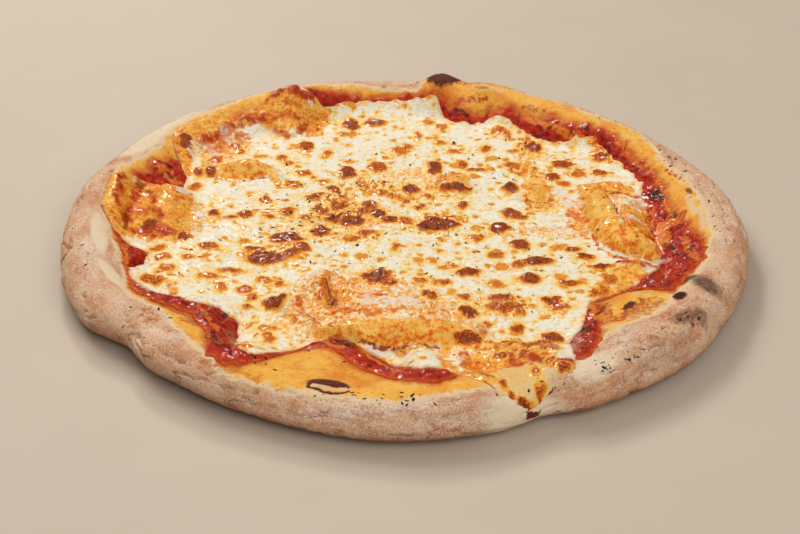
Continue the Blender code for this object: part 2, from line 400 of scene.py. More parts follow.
# Lumps of the dough's skin, as (size in mm, height in mm, seed, octaves), and the creases that
# run round the rim. Past the crest the skin is stretched, so its marks are longer than high.
CRUST_LUMPS = [(17, 0.45, 1, 2), (5, 0.22, 2, 3), (1.8, 0.12, 3, 2)]
CREASE_SPACING, CREASE_DEPTH, CREASE_SHARE = 26, 1.1, 0.09
SKIN_RADIUS, SKIN_STRETCH = 150 * MM, 3.5


def layered(points, layers):
    """Sum of layers of lumps, as (size in mm, height, seed, octaves)."""
    return sum(height * lumps(points, size, *rest) for size, height, *rest in layers)


relief = layered(crust_grid, CRUST_LUMPS)
skin_place = ring(SKIN_RADIUS + 0 * arc, turns, SKIN_STRETCH * past_crest)
creases = np.abs(lumps(skin_place, CREASE_SPACING, 4, 3))
relief -= CREASE_DEPTH * ramp(CREASE_SHARE, 0.0, creases) * ramp(-2, 4, past_crest / MM)
relief += BURNT_BLISTER_HEIGHT * smooth_bump(ellipse_distance(grid_x, grid_y, *BURNT_BLISTER))
above_base = ramp(0.5 * MM, 4 * MM, crust_grid[..., 2])
off_table = ramp(0.1 * MM, 2 * MM, crust_grid[..., 2])
scorched = np.maximum(patches(grid_x, grid_y, SCORCHED), strokes(grid_x, grid_y, SEARED))
cracked = strokes(grid_x, grid_y, CRACKED)
crust_fields = {
    "oil": edge_distance(grid_x, grid_y, oil_edge) / MM - np.maximum(past_crest / MM - 9, 0),
    "sauce": -edge_distance(grid_x, grid_y, sauce_edge) / MM,
    "past_crest": past_crest / MM,
    "crease": creases,
    "char": patches(grid_x, grid_y, CHARRED) * off_table,
    "scorch": scorched * off_table - cracked,
    "smeared": strokes(grid_x, grid_y, SMEARED),
    "pale_fat_and_light": np.maximum(strokes(grid_x, grid_y, PALE_FAT_AND_PAINTED_LIGHT), cracked),
    "toast": patches(grid_x, grid_y, TOASTED_PLACES) * off_table,
    "flour": patches(grid_x, grid_y, FLOURED_PLACES) * off_table,
    "smooth": patches(grid_x, grid_y, SMOOTH_PLACES) * off_table,
    "skin": skin_place}
crust_grid = crust_grid + grid_normals(crust_grid) * (relief * MM * above_base)[..., None]
crust_grid[..., 2] = np.maximum(crust_grid[..., 2], 0)
crust_grid[-BASE_RINGS:, :, 2] = 0

points, faces = closed(crust_grid, FLOOR_THICKNESS, 0)
crust_fields = {field: np.concatenate([values.reshape(len(points) - 2, -1),
                                       values[[0, -1]].mean(axis=1).reshape(2, -1)]).squeeze()
                for field, values in crust_fields.items()}
crust = mesh_piece("baked_crust", points, faces, crust_fields)


def colour(red, green, blue):
    """A display colour from 0 to 255 as the linear colour that shaders take."""
    share = np.array([red, green, blue]) / 255
    linear = np.where(share < 0.04045, share / 12.92, ((share + 0.055) / 1.055) ** 2.4)
    return (*linear.tolist(), 1.0)


class Finish:
    """A material: one Principled shader and the nodes that feed it."""

    def __init__(self, name, **constants):
        self.material = bpy.data.materials.new(name)
        self.material.use_nodes = True
        self.tree = self.material.node_tree
        self.shader = self.tree.nodes["Principled BSDF"]
        self.place = self.node("ShaderNodeTexCoord").outputs["Object"]
        for socket, value in constants.items():
            self.shader.inputs[socket.replace("_", " ")].default_value = value

    def node(self, kind, **settings):
        node = self.tree.nodes.new(kind)
        for name, value in settings.items():
            setattr(node, name, value)
        return node

    def feed(self, socket, value):
        if isinstance(value, bpy.types.NodeSocket):
            self.tree.links.new(value, socket)
        else:
            socket.default_value = value

    def field(self, name, output="Fac"):
        """A value stored at the mesh's points."""
        return self.node("ShaderNodeAttribute", attribute_name=name).outputs[output]

    def grain(self, size, detail=3.0, roughness=0.55, distortion=0.0, place=None):
        """Cloudy noise from 0 to 1 with clouds of about that size in mm."""
        node = self.node("ShaderNodeTexNoise")
        self.feed(node.inputs["Vector"], place or self.place)
        node.inputs["Scale"].default_value = 1 / (size * MM)
        node.inputs["Detail"].default_value = detail
        node.inputs["Roughness"].default_value = roughness
        node.inputs["Distortion"].default_value = distortion
        return node.outputs["Fac"]

    def maths(self, operation, *values):
        node = self.node("ShaderNodeMath", operation=operation)
        for socket, value in zip(node.inputs, values):
            self.feed(socket, value)
        return node.outputs[0]

    def sum(self, first, second, times=1.0):
        """first + second * times"""
        return self.maths("MULTIPLY_ADD", second, times, first)

    def larger(self, first, second):
        return self.maths("MAXIMUM", first, second)

    def swing(self, value, times):
        """Noise from 0 to 1 turned into a swing about 0."""
        return self.sum(-times / 2, value, times)

    def ragged(self, field, value, times):
        """A stored value whose edges are made ragged by a swing of noise."""
        return self.sum(self.field(field), self.swing(value, times))

    def step(self, value, low, high, to_low=0.0, to_high=1.0):
        """A smooth step from to_low to to_high as the value goes from low to high."""
        node = self.node("ShaderNodeMapRange", interpolation_type="SMOOTHSTEP")
        for socket, number in zip(node.inputs, (value, low, high, to_low, to_high)):
            self.feed(socket, number)
        return node.outputs["Result"]

    def mix(self, share, first, second):
        """Colour that goes from first to second as share goes from 0 to 1."""
        node = self.node("ShaderNodeMix", data_type="RGBA")
        self.feed(node.inputs[0], share)
        self.feed(node.inputs[6], first)
        self.feed(node.inputs[7], second)
        return node.outputs[2]

    def stops(self, value, *stops):
        """Colour from a row of (position, colour) stops."""
        node = self.node("ShaderNodeValToRGB")
        elements = node.color_ramp.elements
        elements[0].position, elements[0].color = stops[0]
        elements[1].position, elements[1].color = stops[-1]
        for position, shade in stops[1:-1]:
            elements.new(position).color = shade
        self.feed(node.inputs["Fac"], value)
        return node.outputs["Color"]

    def lay(self, under, over, value, low, high, most=1.0):
        """Colour under, with over laid on it as the value goes from low to high."""
        return self.mix(self.step(value, low, high, 0.0, most), under, over)

    def bump(self, height, depth):
        """Fine relief of that depth in mm."""
        node = self.node("ShaderNodeBump")
        node.inputs["Distance"].default_value = depth * MM
        self.feed(node.inputs["Height"], height)
        self.feed(self.shader.inputs["Normal"], node.outputs["Normal"])

    def paint(self, base, roughness):
        self.feed(self.shader.inputs["Base Color"], base)
        self.feed(self.shader.inputs["Roughness"], roughness)


SKIN = colour(226, 184, 148)
SKIN_WARM = colour(214, 156, 114)
SKIN_BROWN = colour(172, 118, 88)
SMOOTH_DOUGH = colour(238, 218, 186)
FLOUR = colour(240, 220, 202)
UNDERSIDE_BROWN_AND_SHADE = colour(150, 100, 68)
CREASE_SHADE = colour(150, 100, 72)
CARAMEL = colour(190, 100, 44)
SCORCH = colour(98, 40, 22)
CHAR = colour(46, 32, 28)
BARE_DOUGH = colour(234, 206, 164)
OILED = colour(252, 186, 74)
OILED_PALE = colour(250, 204, 112)
OILED_DEEP = colour(236, 142, 48)
TOMATO_STAIN = colour(196, 70, 34)

baked = Finish("baked_dough", Specular_IOR_Level=0.3)
sand = baked.grain(1.0, 3, 0.75)
pores = baked.grain(2.2, 4, 0.65)
patch = baked.grain(16, 4, 0.6)
streak = baked.grain(13, 5, 0.62, place=baked.field("skin", "Vector"))
skin = baked.lay(SKIN, SKIN_WARM, patch, 0.42, 0.62)
flour_line = baked.sum(baked.sum(sand, baked.field("flour"), 0.14), baked.swing(streak, 0.5))
skin = baked.lay(skin, FLOUR, flour_line, 0.50, 0.66, 0.75)
dust = baked.sum(baked.grain(0.8, 2, 0.8), baked.swing(patch, 0.25))
skin = baked.lay(skin, SKIN_BROWN, dust, 0.50, 0.66, 0.72)
# Past the crest the skin turns darker brown towards the base: baked browning with painted shade
# under the rim
low_side_brown_and_shade = baked.ragged("past_crest", streak, 12.0)
skin = baked.lay(skin, UNDERSIDE_BROWN_AND_SHADE, low_side_brown_and_shade, 15.0, 25.0, 0.75)
# Painted shade: the creases round the rim are darkened
skin = baked.lay(skin, CREASE_SHADE, baked.field("crease"), 0.045, 0.0, 0.7)
skin = baked.lay(skin, SMOOTH_DOUGH, baked.ragged("smooth", pores, 0.7), 0.3, 0.9, 0.9)
oil_line = baked.ragged("oil", pores, 6.0)
oil_line = baked.sum(oil_line, baked.swing(streak, 5.0))
bare = baked.lay(skin, BARE_DOUGH, oil_line, -3.0, -0.5)
oil_cloud = baked.sum(baked.sum(patch, baked.swing(pores, 0.5)), baked.swing(streak, 0.5))
oil_tint = baked.stops(baked.sum(oil_cloud, baked.field("oil"), 0.006),
                       (0.30, OILED_PALE), (0.5, OILED), (0.78, OILED_DEEP))
near_sauce = baked.ragged("sauce", pores, 9.0)
oil_tint = baked.lay(oil_tint, TOMATO_STAIN, near_sauce, 3.6, -0.4, 0.8)
# Pale set fat, the pale crack and painted light on the slope, in bare dough colour
oil_tint = baked.lay(oil_tint, BARE_DOUGH, baked.ragged("pale_fat_and_light", pores, 1.6), 0.4, 0.8, 0.8)
oil_tint = baked.lay(oil_tint, TOMATO_STAIN, baked.ragged("smeared", pores, 3.6), 0.3, 1.0, 0.9)
oiled = baked.step(oil_line, 0.0, 1.6)
tint = baked.mix(oiled, bare, oil_tint)
tint = baked.lay(tint, CARAMEL, baked.ragged("toast", pores, 2.2), 0.35, 0.85, 0.85)
coarse = baked.sum(pores, sand, 0.5)
tint = baked.lay(tint, SCORCH, baked.ragged("scorch", coarse, 0.8), 0.35, 0.75, 1.0)
char_line = baked.ragged("char", pores, 0.7)
char_line = baked.sum(char_line, baked.swing(sand, 0.7))
tint = baked.lay(tint, CHAR, char_line, 0.12, 0.75, 0.85)
baked.paint(tint, baked.step(oiled, 0.0, 1.0, 0.85, 0.38))
baked.bump(baked.sum(sand, pores, 0.9), 0.75)
crust.data.materials.append(baked.material)
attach(crust, "root")
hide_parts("crust")

# ---------------------------------------------------------------------------------------------
# Tomato sauce. Crushed tomato spooned on the dough before baking. It shows as a wet lumpy red
# band between the cheese and the rim, thickest where the dough's blisters have pushed it.

SAUCE_THICKNESS = 1.2 * MM
SOAKED_THICKNESS = 0.5 * MM
SAUCE_BANK = 1.0 * MM
SAUCE_LUMPS = [(6, 0.9, 21, 2), (2.4, 0.9, 22, 2)]
EDGE_ROUND = 3.5 * MM
EDGE_TUCK = 0.6 * MM
STEPS_SAUCE = 1300
HIDDEN_SAUCE_SHARES = np.linspace(0.3, 0.97, 20)
SAUCE_FOOT_SHARES = (0.97, 0.5, 0.0)
UNDER_SAUCE_SHARES = (0.95, 0.9, 0.84, 0.78, 0.72, 0.65, 0.57, 0.48, 0.3)
sauce_angles = np.arange(STEPS_SAUCE) * 360 / STEPS_SAUCE
sauce_turns = np.radians(sauce_angles)
sauce_out = sauce_edge(sauce_angles)
sauce_in = np.minimum(cheese_line(sauce_angles), sauce_out - 4 * MM) - HIDDEN_UNDER_CHEESE
sauce_shares = np.concatenate([np.linspace(0, 0.92, 28), [0.95, 0.975, 1.0]])

# Where the cheese ends, as (angle, radius in mm). It bares the sauce, so it is needed here.
CHEESE_OUTLINE = [
    (0, 119), (5, 119), (10, 122), (17, 125), (20, 128), (24, 130), (31, 131), (35, 133),
    (38, 135), (42, 134), (46, 131), (50, 126), (54, 127), (58, 128), (62, 130), (66, 131),
    (70, 130), (73, 128), (76, 124), (78, 125), (80, 129), (82, 136), (84, 138), (87, 139),
    (90, 136), (94, 135), (99, 137), (103, 136), (107, 135), (109, 137), (110, 141), (113, 146),
    (116, 147), (120, 143), (125, 141), (129, 142), (132, 144), (135, 146), (140, 146), (144, 144),
    (147, 140), (149, 132), (152, 124), (155, 119), (158, 119), (160, 124), (162, 134), (164, 143),
    (170, 144), (176, 143), (180, 140), (184, 135), (187, 127), (189, 120), (191, 119), (194, 121),
    (197, 127), (203, 131), (207, 126), (210, 116), (214, 116), (218, 119), (220, 113), (222, 108),
    (225, 107), (229, 108), (232, 113), (236, 125), (240, 133), (244, 138), (246, 122), (248, 111),
    (251, 104), (255, 102), (259, 102), (262, 104), (266, 108), (269, 113), (271, 124), (273, 130),
    (277, 130), (280, 132), (282, 136), (284, 146), (286, 154), (288, 157), (290, 157), (292, 153),
    (295, 150), (298, 150), (300, 143), (303, 131), (306, 122), (309, 118), (314, 112), (318, 108),
    (323, 106), (327, 106), (330, 109), (335, 114), (338, 116), (342, 115), (346, 120), (351, 123),
    (355, 121)]


def cheese_edge(angle):
    return drawn_line(angle, CHEESE_OUTLINE) + wander(angle, seed=7, fewest=12, most=240, size=1.2)


def sauce_top(x, y):
    """Height of the sauce's surface: soaked in under the cheese, lumpy where it is bare."""
    to_edge, past_cheese = edge_distance(x, y, sauce_edge), -edge_distance(x, y, cheese_edge)
    bank = np.clip(to_edge / EDGE_ROUND, 0, 1) ** 0.7
    flat = np.stack([x, y, 0 * x], axis=-1)
    lumpy = layered(flat, SAUCE_LUMPS)
    bare = ramp(-3 * MM, 0.5 * MM, past_cheese)
    free = ramp(0, 4 * MM, to_edge) * ramp(0, 3 * MM, past_cheese)
    thickness = SOAKED_THICKNESS + (SAUCE_THICKNESS - SOAKED_THICKNESS) * bare
    return dough_top(x, y) + LAYER_GAP + (thickness + SAUCE_BANK * (0.5 + lumpy) * free) * bank


def soaked_top(x, y):
    return dough_top(x, y) + LAYER_GAP + SOAKED_THICKNESS


bare_width = sauce_out - sauce_in
rings = [ring(sauce_in * share, sauce_turns, soaked_top) for share in HIDDEN_SAUCE_SHARES]
rings += list(ring(sauce_in + bare_width * sauce_shares[:, None], sauce_turns, sauce_top))
tucked = rings[-1]
tucked[:, 2] = dough_top(tucked[:, 0], tucked[:, 1]) - EDGE_TUCK
rings += [ring(sauce_in + bare_width * share, sauce_turns, dough_top)
          for share in SAUCE_FOOT_SHARES]
rings += [ring(sauce_in * share, sauce_turns, dough_top) for share in UNDER_SAUCE_SHARES]
sauce_grid = np.stack(rings)
sauce_x, sauce_y = sauce_grid[..., 0], sauce_grid[..., 1]

# Strands and films of cheese fat that lie on the sauce, milky streaks that are partly film and
# partly painted highlights on the wet sauce, pieces of tomato that are darker, and scorched places
FAT_STROKES = [
    (4.5, 1.0, (124, 8), (122, -8)), (3.5, 0.9, (112, 96), (112, 84), (116, 76)),
    (2.5, 0.9, (128, 40), (130, 20), (130, 4)), (2.5, 0.8, (121, 30), (118, 8)),
    (2, 0.9, (131, 44), (134, 10)), (1.8, 1.0, (66, 117), (76, 108), (86, 98), (97, 90)),
    (2, 0.8, (131, -10), (133, -40)), (3, 0.8, (-112, 48), (-122, 54)),
    (2.5, 0.8, (100, -52), (92, -58)), (2, 0.7, (130, 20), (124, 2)),
    (2, 0.7, (-88, -78), (-78, -96)), (2, 0.8, (82, -66), (84, -84)),
    (1.5, 0.6, (112, 76), (120, 62)), (1.5, 0.7, (-128, -20), (-124, -40)),
    (2, 0.6, (38, 126), (52, 124)), (1.2, 1.1, (-16, -110), (-8, -120), (-1, -129)),
    (1.6, 0.9, (-32, -104), (-24, -112)), (1.4, 0.8, (4, -128), (16, -124))]
FILM_AND_HIGHLIGHTS_ON_SAUCE = [
    (3.5, 0.9, (-114, -57), (-106, -64)), (2, 0.8, (119, -20), (123, -24)),
    (2.5, 0.7, (74, -92), (75, -100)), (1.5, 0.6, (-34, -100), (-33, -106))]
DARK_STROKES = [
    (3.5, 1.0, (124, 40), (126, 35)), (2, 0.7, (132, 22), (130, 12)),
    (2, 0.6, (76, -104), (76, -111)), (2, 0.7, (72, -90), (73, -99)),
    (2.4, 0.9, (74, -84), (80, -92)), (3, 0.8, (-26, -101), (-22, -108)),
    (1.5, 0.8, (-76, -77), (-76, -81)), (2, 0.6, (-79, -100), (-76, -118)),
    (2, 0.5, (-56, -112), (-47, -104)), (2, 0.7, (28, 128), (34, 124)),
    (1.5, 0.8, (94, 98), (96, 96)), (2, 0.6, (123, -10), (126, -16)),
    (1.2, 0.9, (-121, 58), (-115, 56))]

points, faces = closed(sauce_grid, FLOOR_THICKNESS + LAYER_GAP + SOAKED_THICKNESS,
                       FLOOR_THICKNESS)
sauce_fields = {"to_edge": (sauce_out - np.hypot(sauce_x, sauce_y)) / MM,
                "fat": strokes(sauce_x, sauce_y, FAT_STROKES),
                "film": strokes(sauce_x, sauce_y, FILM_AND_HIGHLIGHTS_ON_SAUCE),
                "dark": strokes(sauce_x, sauce_y, DARK_STROKES)}
sauce_fields = {field: np.append(values.reshape(-1), [0, 0])
                for field, values in sauce_fields.items()}
sauce = mesh_piece("crushed_tomato", points, faces, sauce_fields)

TOMATO = colour(178, 40, 14)
TOMATO_DEEP = colour(124, 20, 8)
TOMATO_BRIGHT = colour(206, 66, 22)
TOMATO_OIL = colour(218, 104, 32)
FAT_GOLD = colour(232, 146, 52)
MILKY_FILM_AND_HIGHLIGHT = colour(226, 176, 158)
SCORCHED_TOMATO = colour(70, 22, 14)

tomato = Finish("cooked_tomato", Coat_Weight=0.45, Coat_Roughness=0.08, Specular_IOR_Level=0.1)
pulp = tomato.grain(3.0, 4, 0.6)
seeds = tomato.grain(1.1, 3, 0.6)
clouds = tomato.grain(8, 3, 0.6)
flesh = tomato.stops(tomato.sum(pulp, tomato.swing(clouds, 0.6)), (0.40, TOMATO_DEEP),
                     (0.49, TOMATO), (0.60, TOMATO), (0.68, TOMATO_BRIGHT), (0.78, TOMATO_OIL))
edge = tomato.step(tomato.ragged("to_edge", pulp, 9.0), -0.6, 2.8, 0.1)
flesh = tomato.mix(edge, TOMATO_OIL, flesh)
fat = tomato.stops(pulp, (0.34, TOMATO_BRIGHT), (0.46, FAT_GOLD), (0.6, TOMATO_OIL))
flesh = tomato.lay(flesh, fat, tomato.ragged("fat", pulp, 3.2), 0.3, 1.0, 0.9)
# Milky film, and painted highlights where the wet sauce catches the light
flesh = tomato.lay(flesh, MILKY_FILM_AND_HIGHLIGHT, tomato.ragged("film", pulp, 1.6), 0.4, 0.9, 0.7)
flesh = tomato.lay(flesh, SCORCHED_TOMATO, tomato.ragged("dark", pulp, 1.4), 0.4, 0.8, 0.9)
tomato.paint(flesh, 0.24)
tomato.bump(tomato.sum(pulp, seeds, 0.5), 0.9)
sauce.data.materials.append(tomato.material)
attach(sauce, "root")
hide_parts("tomato_sauce")

# ---------------------------------------------------------------------------------------------
# Mozzarella. Grated low-moisture mozzarella that has melted into one sheet. It stays ivory
# where it is thick, turns golden where it has given off oil, and browns on every small bubble.

CHEESE_THICKNESS = 3.0 * MM
CHEESE_LIP = 0.9 * MM
LIP_WIDTH = 11 * MM
CHEESE_CELLS = 288
CHEESE_TUCK = 0.8 * MM
UNDER_CHEESE_SHARES = (1, 0.98, 0.95, 0.915, 0.88, 0.84, 0.79, 0.73, 0.65, 0.5, 0.25)
EDGE_ROLL = 1.2 * MM
LEAST_CHEESE = 0.7 * MM
GLAZE_THINNER = 0.5 * MM
CELL_BULGE = 0.012
BUBBLE_MARGIN, BUBBLE_RISE = 0.4, 0.8
# Layers of lumps, as (size in mm, height in mm, seed, octaves): the sag of the sheet, and how
# far the marks on it are pushed along x and along y
CHEESE_SAG = [(26, 0.8, 33, 2), (8, 0.45, 34, 2)]
DRIFT_X = [(7, 1.8, 31, 2), (2.5, 1.0, 36, 1)]
DRIFT_Y = [(7, 1.8, 32, 2), (2.5, 1.0, 37, 1)]
FAR_FROM_BROWN = -6.0

# Browned bubbles, as (x, y, width, depth, darkness) in mm
BROWNED = [
    # back left
    (-28, 117, 9, 11, 0.9), (-15, 118, 11, 8, 0.9), (-31, 105, 3, 4, 0.4), (-50, 89, 7, 11, 0.8),
    (-39, 81, 4, 8, 0.4), (-87, 89, 6, 6, 0.5), (-83, 83, 4, 4, 0.4), (-62, 76, 5, 6, 0.5),
    (-58, 70, 4, 5, 0.4), (-28, 60, 8, 12, 0.9), (-50, 59, 7, 5, 0.5), (-44, 55, 2, 2, 0.7),
    (-13, 67, 8, 9, 0.6), (-103, 60, 5, 9, 0.9), (-96, 57, 6, 8, 0.9), (-95, 73, 5, 7, 0.6),
    (-103, 44, 5, 9, 0.5), (-54, 47, 9, 6, 0.4), (-40, 50, 6, 3, 0.3), (-67, 30, 6, 6, 0.7),
    (-34, 41, 6, 7, 0.8), (-43, 34, 7, 4, 0.9), (-20, 46, 6, 5, 0.4), (-10, 39, 5, 5, 0.5),
    (-5, 36, 6, 4, 0.4), (-16, 25, 7, 9, 0.7), (-12, 17, 7, 9, 1.0), (-6, 11, 9, 6, 1.0),
    (-24, 10, 12, 9, 0.9), (-39, 0, 8, 11, 1.0), (-33, 12, 6, 8, 0.8), (-31, 24, 6, 9, 0.6),
    (-39, 20, 6, 8, 0.7), (-46, 13, 6, 5, 0.7), (-20, 19, 6, 6, 0.7), (-55, 18, 6, 7, 0.6),
    (-64, 12, 4, 3, 0.7), (-75, 15, 8, 8, 0.8), (-90, 17, 5, 6, 1.0), (-84, 12, 8, 3, 1.0),
    # back right
    (14, 121, 6, 5, 0.4), (21, 115, 6, 9, 0.4), (50, 111, 7, 7, 0.3), (55, 107, 4, 9, 0.5),
    (65, 102, 3, 6, 0.7), (68, 92, 9, 14, 1.0), (43, 89, 4, 8, 0.6), (8, 103, 3, 7, 0.3),
    (2, 91, 4, 5, 0.5), (-2, 86, 7, 7, 0.35), (26, 86, 6, 4, 0.35), (20, 96, 4, 3, 0.3),
    (57, 87, 5, 4, 0.3), (16, 67, 7, 14, 1.0), (30, 70, 6, 8, 0.6), (37, 64, 8, 3, 0.8),
    (26, 42, 14, 6, 1.0), (4, 43, 8, 10, 1.0), (2, 30, 4, 4, 0.6), (8, 24, 6, 4, 0.9),
    (12, 35, 3, 5, 0.5), (29, 26, 5, 6, 0.8), (52, 19, 8, 8, 0.8), (56, 15, 6, 5, 0.7),
    (17, 7, 21, 13, 1.0), (46, 4, 10, 9, 1.0), (54, 43, 6, 13, 1.0), (75, 57, 8, 8, 0.8),
    (81, 72, 9, 7, 0.8), (56, 71, 8, 5, 0.5), (67, 67, 3, 4, 0.7), (88, 62, 6, 8, 0.4),
    (101, 79, 8, 6, 0.7), (99, 64, 8, 6, 0.6), (80, 50, 6, 5, 0.4), (2, 10, 4, 6, 0.5),
    # front left
    (-54, -8, 15, 9, 1.0), (-47, -17, 8, 8, 0.7), (-62, -27, 20, 10, 1.0), (-51, -22, 9, 7, 0.8),
    (-68, -19, 8, 5, 0.8), (-17, -2, 9, 3, 0.6), (-24, -8, 6, 5, 0.4), (-3, -15, 4, 8, 0.4),
    (-90, -16, 8, 6, 0.7), (-73, -12, 5, 3, 0.3), (-113, -17, 7, 3, 0.4), (-110, -26, 5, 5, 0.4),
    (-99, -26, 5, 4, 0.3), (-107, -36, 7, 4, 0.4), (-112, -47, 10, 8, 0.5), (-87, -43, 8, 5, 0.4),
    (-78, -38, 9, 2, 0.7), (-81, -52, 4, 7, 0.4), (-70, -54, 6, 7, 0.6), (-62, -46, 5, 6, 0.4),
    (-55, -49, 4, 3, 0.8), (-55, -67, 10, 12, 1.0), (-67, -62, 5, 6, 0.6), (-67, -70, 6, 3, 0.7),
    (-57, -86, 7, 3, 0.3), (-56, -94, 4, 8, 0.4), (-66, -112, 8, 3, 0.5), (-12, -42, 11, 10, 1.0),
    (-6, -47, 7, 5, 0.7),
    # front right
    (30, -38, 10, 7, 1.0), (12, -61, 6, 9, 0.8), (27, -59, 6, 6, 0.7), (29, -72, 8, 10, 1.0),
    (44, -60, 10, 5, 0.8), (44, -68, 12, 7, 0.7), (52, -72, 5, 5, 0.6), (17, -47, 7, 5, 0.5),
    (9, -45, 4, 5, 0.4), (42, -48, 6, 6, 0.3), (36, -82, 4, 5, 0.5), (28, -97, 13, 7, 0.9),
    (50, -85, 4, 9, 0.8), (64, -92, 8, 8, 0.9), (66, -63, 7, 9, 0.8), (70, -68, 8, 4, 0.6),
    (57, -44, 11, 8, 0.9), (62, -28, 13, 7, 1.0), (53, -31, 6, 5, 0.7), (55, -12, 9, 8, 0.9),
    (43, -22, 6, 5, 0.5), (35, -6, 6, 5, 0.4), (79, -17, 7, 4, 0.7), (84, -23, 8, 5, 0.9),
    (91, -31, 9, 5, 1.0), (75, -47, 7, 4, 0.8), (85, -55, 5, 8, 0.6), (90, -53, 4, 8, 0.5),
    (94, -42, 7, 6, 0.5), (21, -32, 7, 4, 0.3), (13, -27, 5, 4, 0.4), (35, -131, 4, 4, 0.8),
    (41, -139, 2.6, 8, 0.7), (43, -147, 2.4, 6, 0.8), (55, -142, 2, 8, 0.7), (54, -131, 2, 6, 0.5),
    (61, -124, 4, 4, 0.7), (66, -130, 4, 4, 0.8), (49, -148, 6, 4, 1.0), (41, -108, 5, 5, 0.8),
    (58, -98, 16, 4, 0.7), (62, -110, 8, 12, 0.5), (-23, -104, 9, 8, 1.0)]

# Places where the sheet simmered and browned all over, as (x, y, half length, half width,
# turn, strength) in mm
SIMMERED = [
    (-28, 18, 20, 16, 0, 1.0), (-26, -6, 26, 9, 0, 0.6), (-10, 46, 18, 10, -10, 0.75),
    (-32, 32, 12, 10, 0, 0.8), (-55, 12, 12, 12, 0, 0.45), (4, 60, 24, 8, 0, 0.6),
    (18, 50, 14, 14, 0, 0.7), (14, 38, 22, 10, 0, 0.65), (66, 90, 10, 16, 0, 0.9),
    (62, 66, 12, 10, 0, 0.75), (68, 30, 12, 10, 0, 1.0), (86, 66, 9, 10, 0, 0.5),
    (20, 14, 16, 8, 0, 0.7), (0, 2, 16, 7, 0, 0.4), (36, -4, 9, 7, 0, 0.5),
    (22, -4, 16, 6, 0, 0.4), (-11, -42, 12, 10, 0, 0.9), (-28, -60, 12, 14, 0, 0.6),
    (-4, -64, 30, 16, 0, 0.4), (-40, -86, 14, 16, -30, 0.6), (0, -91, 26, 7, 3, 1.0),
    (46, -66, 12, 10, 0, 0.95), (28, -68, 8, 14, 0, 0.7), (12, -60, 7, 12, 0, 0.6),
    (44, -100, 24, 8, 0, 0.9), (8, -104, 12, 5, 0, 0.7), (100, -36, 12, 8, 10, 0.8),
    (88, -36, 12, 8, -45, 0.5), (-108, -44, 12, 10, 0, 0.55), (-62, -24, 16, 11, -10, 0.7),
    (-88, -22, 14, 10, 0, 0.4), (-92, -44, 16, 8, 0, 0.35), (-62, -54, 12, 14, 0, 0.5),
    (-50, -78, 6, 14, 20, 0.5), (-58, -92, 8, 9, 0, 0.5), (-42, 3, 12, 10, 0, 0.7),
    (78, 76, 10, 9, 0, 0.5), (104, 82, 7, 8, 0, 0.7), (12, 118, 14, 6, 0, 0.3),
    (52, 108, 9, 9, 0, 0.45), (0, 88, 9, 10, 0, 0.55), (30, 88, 18, 8, 0, 0.4),
    (-8, 76, 8, 14, 0, 0.4), (-88, 88, 10, 8, 0, 0.45), (-96, 66, 8, 12, 0, 0.8),
    (-62, 110, 12, 12, 0, 0.7), (58, -40, 12, 10, 0, 0.4), (70, -66, 10, 8, 0, 0.5),
    (62, -28, 12, 9, 0, 0.5), (90, -52, 8, 9, 0, 0.5), (40, -46, 10, 8, 0, 0.4),
    (16, -48, 9, 6, 0, 0.4)]

# Oily golden film that lies over the dough's blisters and folds
FILM = [
    (-118, 22, 19, 26, 0, 1.0), (-110, 8, 12, 18, 0, 1.0), (-62, 116, 18, 13, 12, 1.0),
    (-82, 61, 20, 11, 4, 1.0), (104, 44, 12, 10, 0, 1.0), (112, 6, 10, 26, -8, 1.0),
    (84, 14, 7, 26, 0, 0.55), (34, -114, 12, 10, 0, 0.9), (66, 45, 7, 16, 0, 1.0),
    (27, 53, 7, 11, 0, 0.9), (50, -112, 17, 10, 0, 0.8), (-29, -63, 9, 10, 0, 0.9),
    (0, -94, 32, 9, 3, 1.0), (30, -92, 14, 8, 0, 0.5), (104, -36, 10, 8, 10, 1.0)]
FILM_STROKES = [
    (7, 1.0, (93, 40), (94, 26), (94, 10), (95, -3)),
    (6, 1.0, (95, -3), (99, -11), (106, -17), (115, -18)),
    (5, 1.0, (-138, 38), (-138, 18), (-136, 0), (-132, -8)),
    (6, 1.0, (-132, -3), (-114, -5), (-104, -8)),
    (5.5, 1.0, (-112, 86), (-102, 100), (-90, 111), (-80, 118)), (2.5, 0.9, (-66, 56), (-60, 46)),
    (6, 1.0, (-117, 88), (-115, 76), (-111, 60)), (4, 1.0, (-34, -94), (-24, -97)),
    (3.5, 1.0, (-141, 36), (-133, 48), (-120, 51), (-110, 46)),
    (4.5, 1.0, (-45, 136), (-44, 120), (-47, 106)), (2, 0.8, (-8, -50), (-4, -64)),
    (3, 0.45, (58, 3), (76, 5), (90, 2)), (3, 0.8, (-48, 116), (-48, 104)),
    (4, 0.9, (88, 102), (98, 94), (104, 86)), (2.5, 0.8, (60, 60), (64, 74)),
    (2, 0.6, (-66, -100), (-64, -118)), (1.3, 1.0, (53, -122), (55, -134), (54, -146)),
    (3, 1.0, (58, -121), (63, -127), (69, -130)), (2.5, 0.8, (40, -104), (38, -122)),
    (5, 1.0, (28, -113), (34, -138)), (3, 0.6, (18, -122), (26, -130)),
    (1.3, 1.0, (40, -132), (42, -143), (45, -151)), (1.6, 0.9, (44, -152), (54, -151)),
    (4, 0.9, (106, -30), (100, -46), (92, -58)), (2.5, 0.7, (20, -98), (16, -112))]
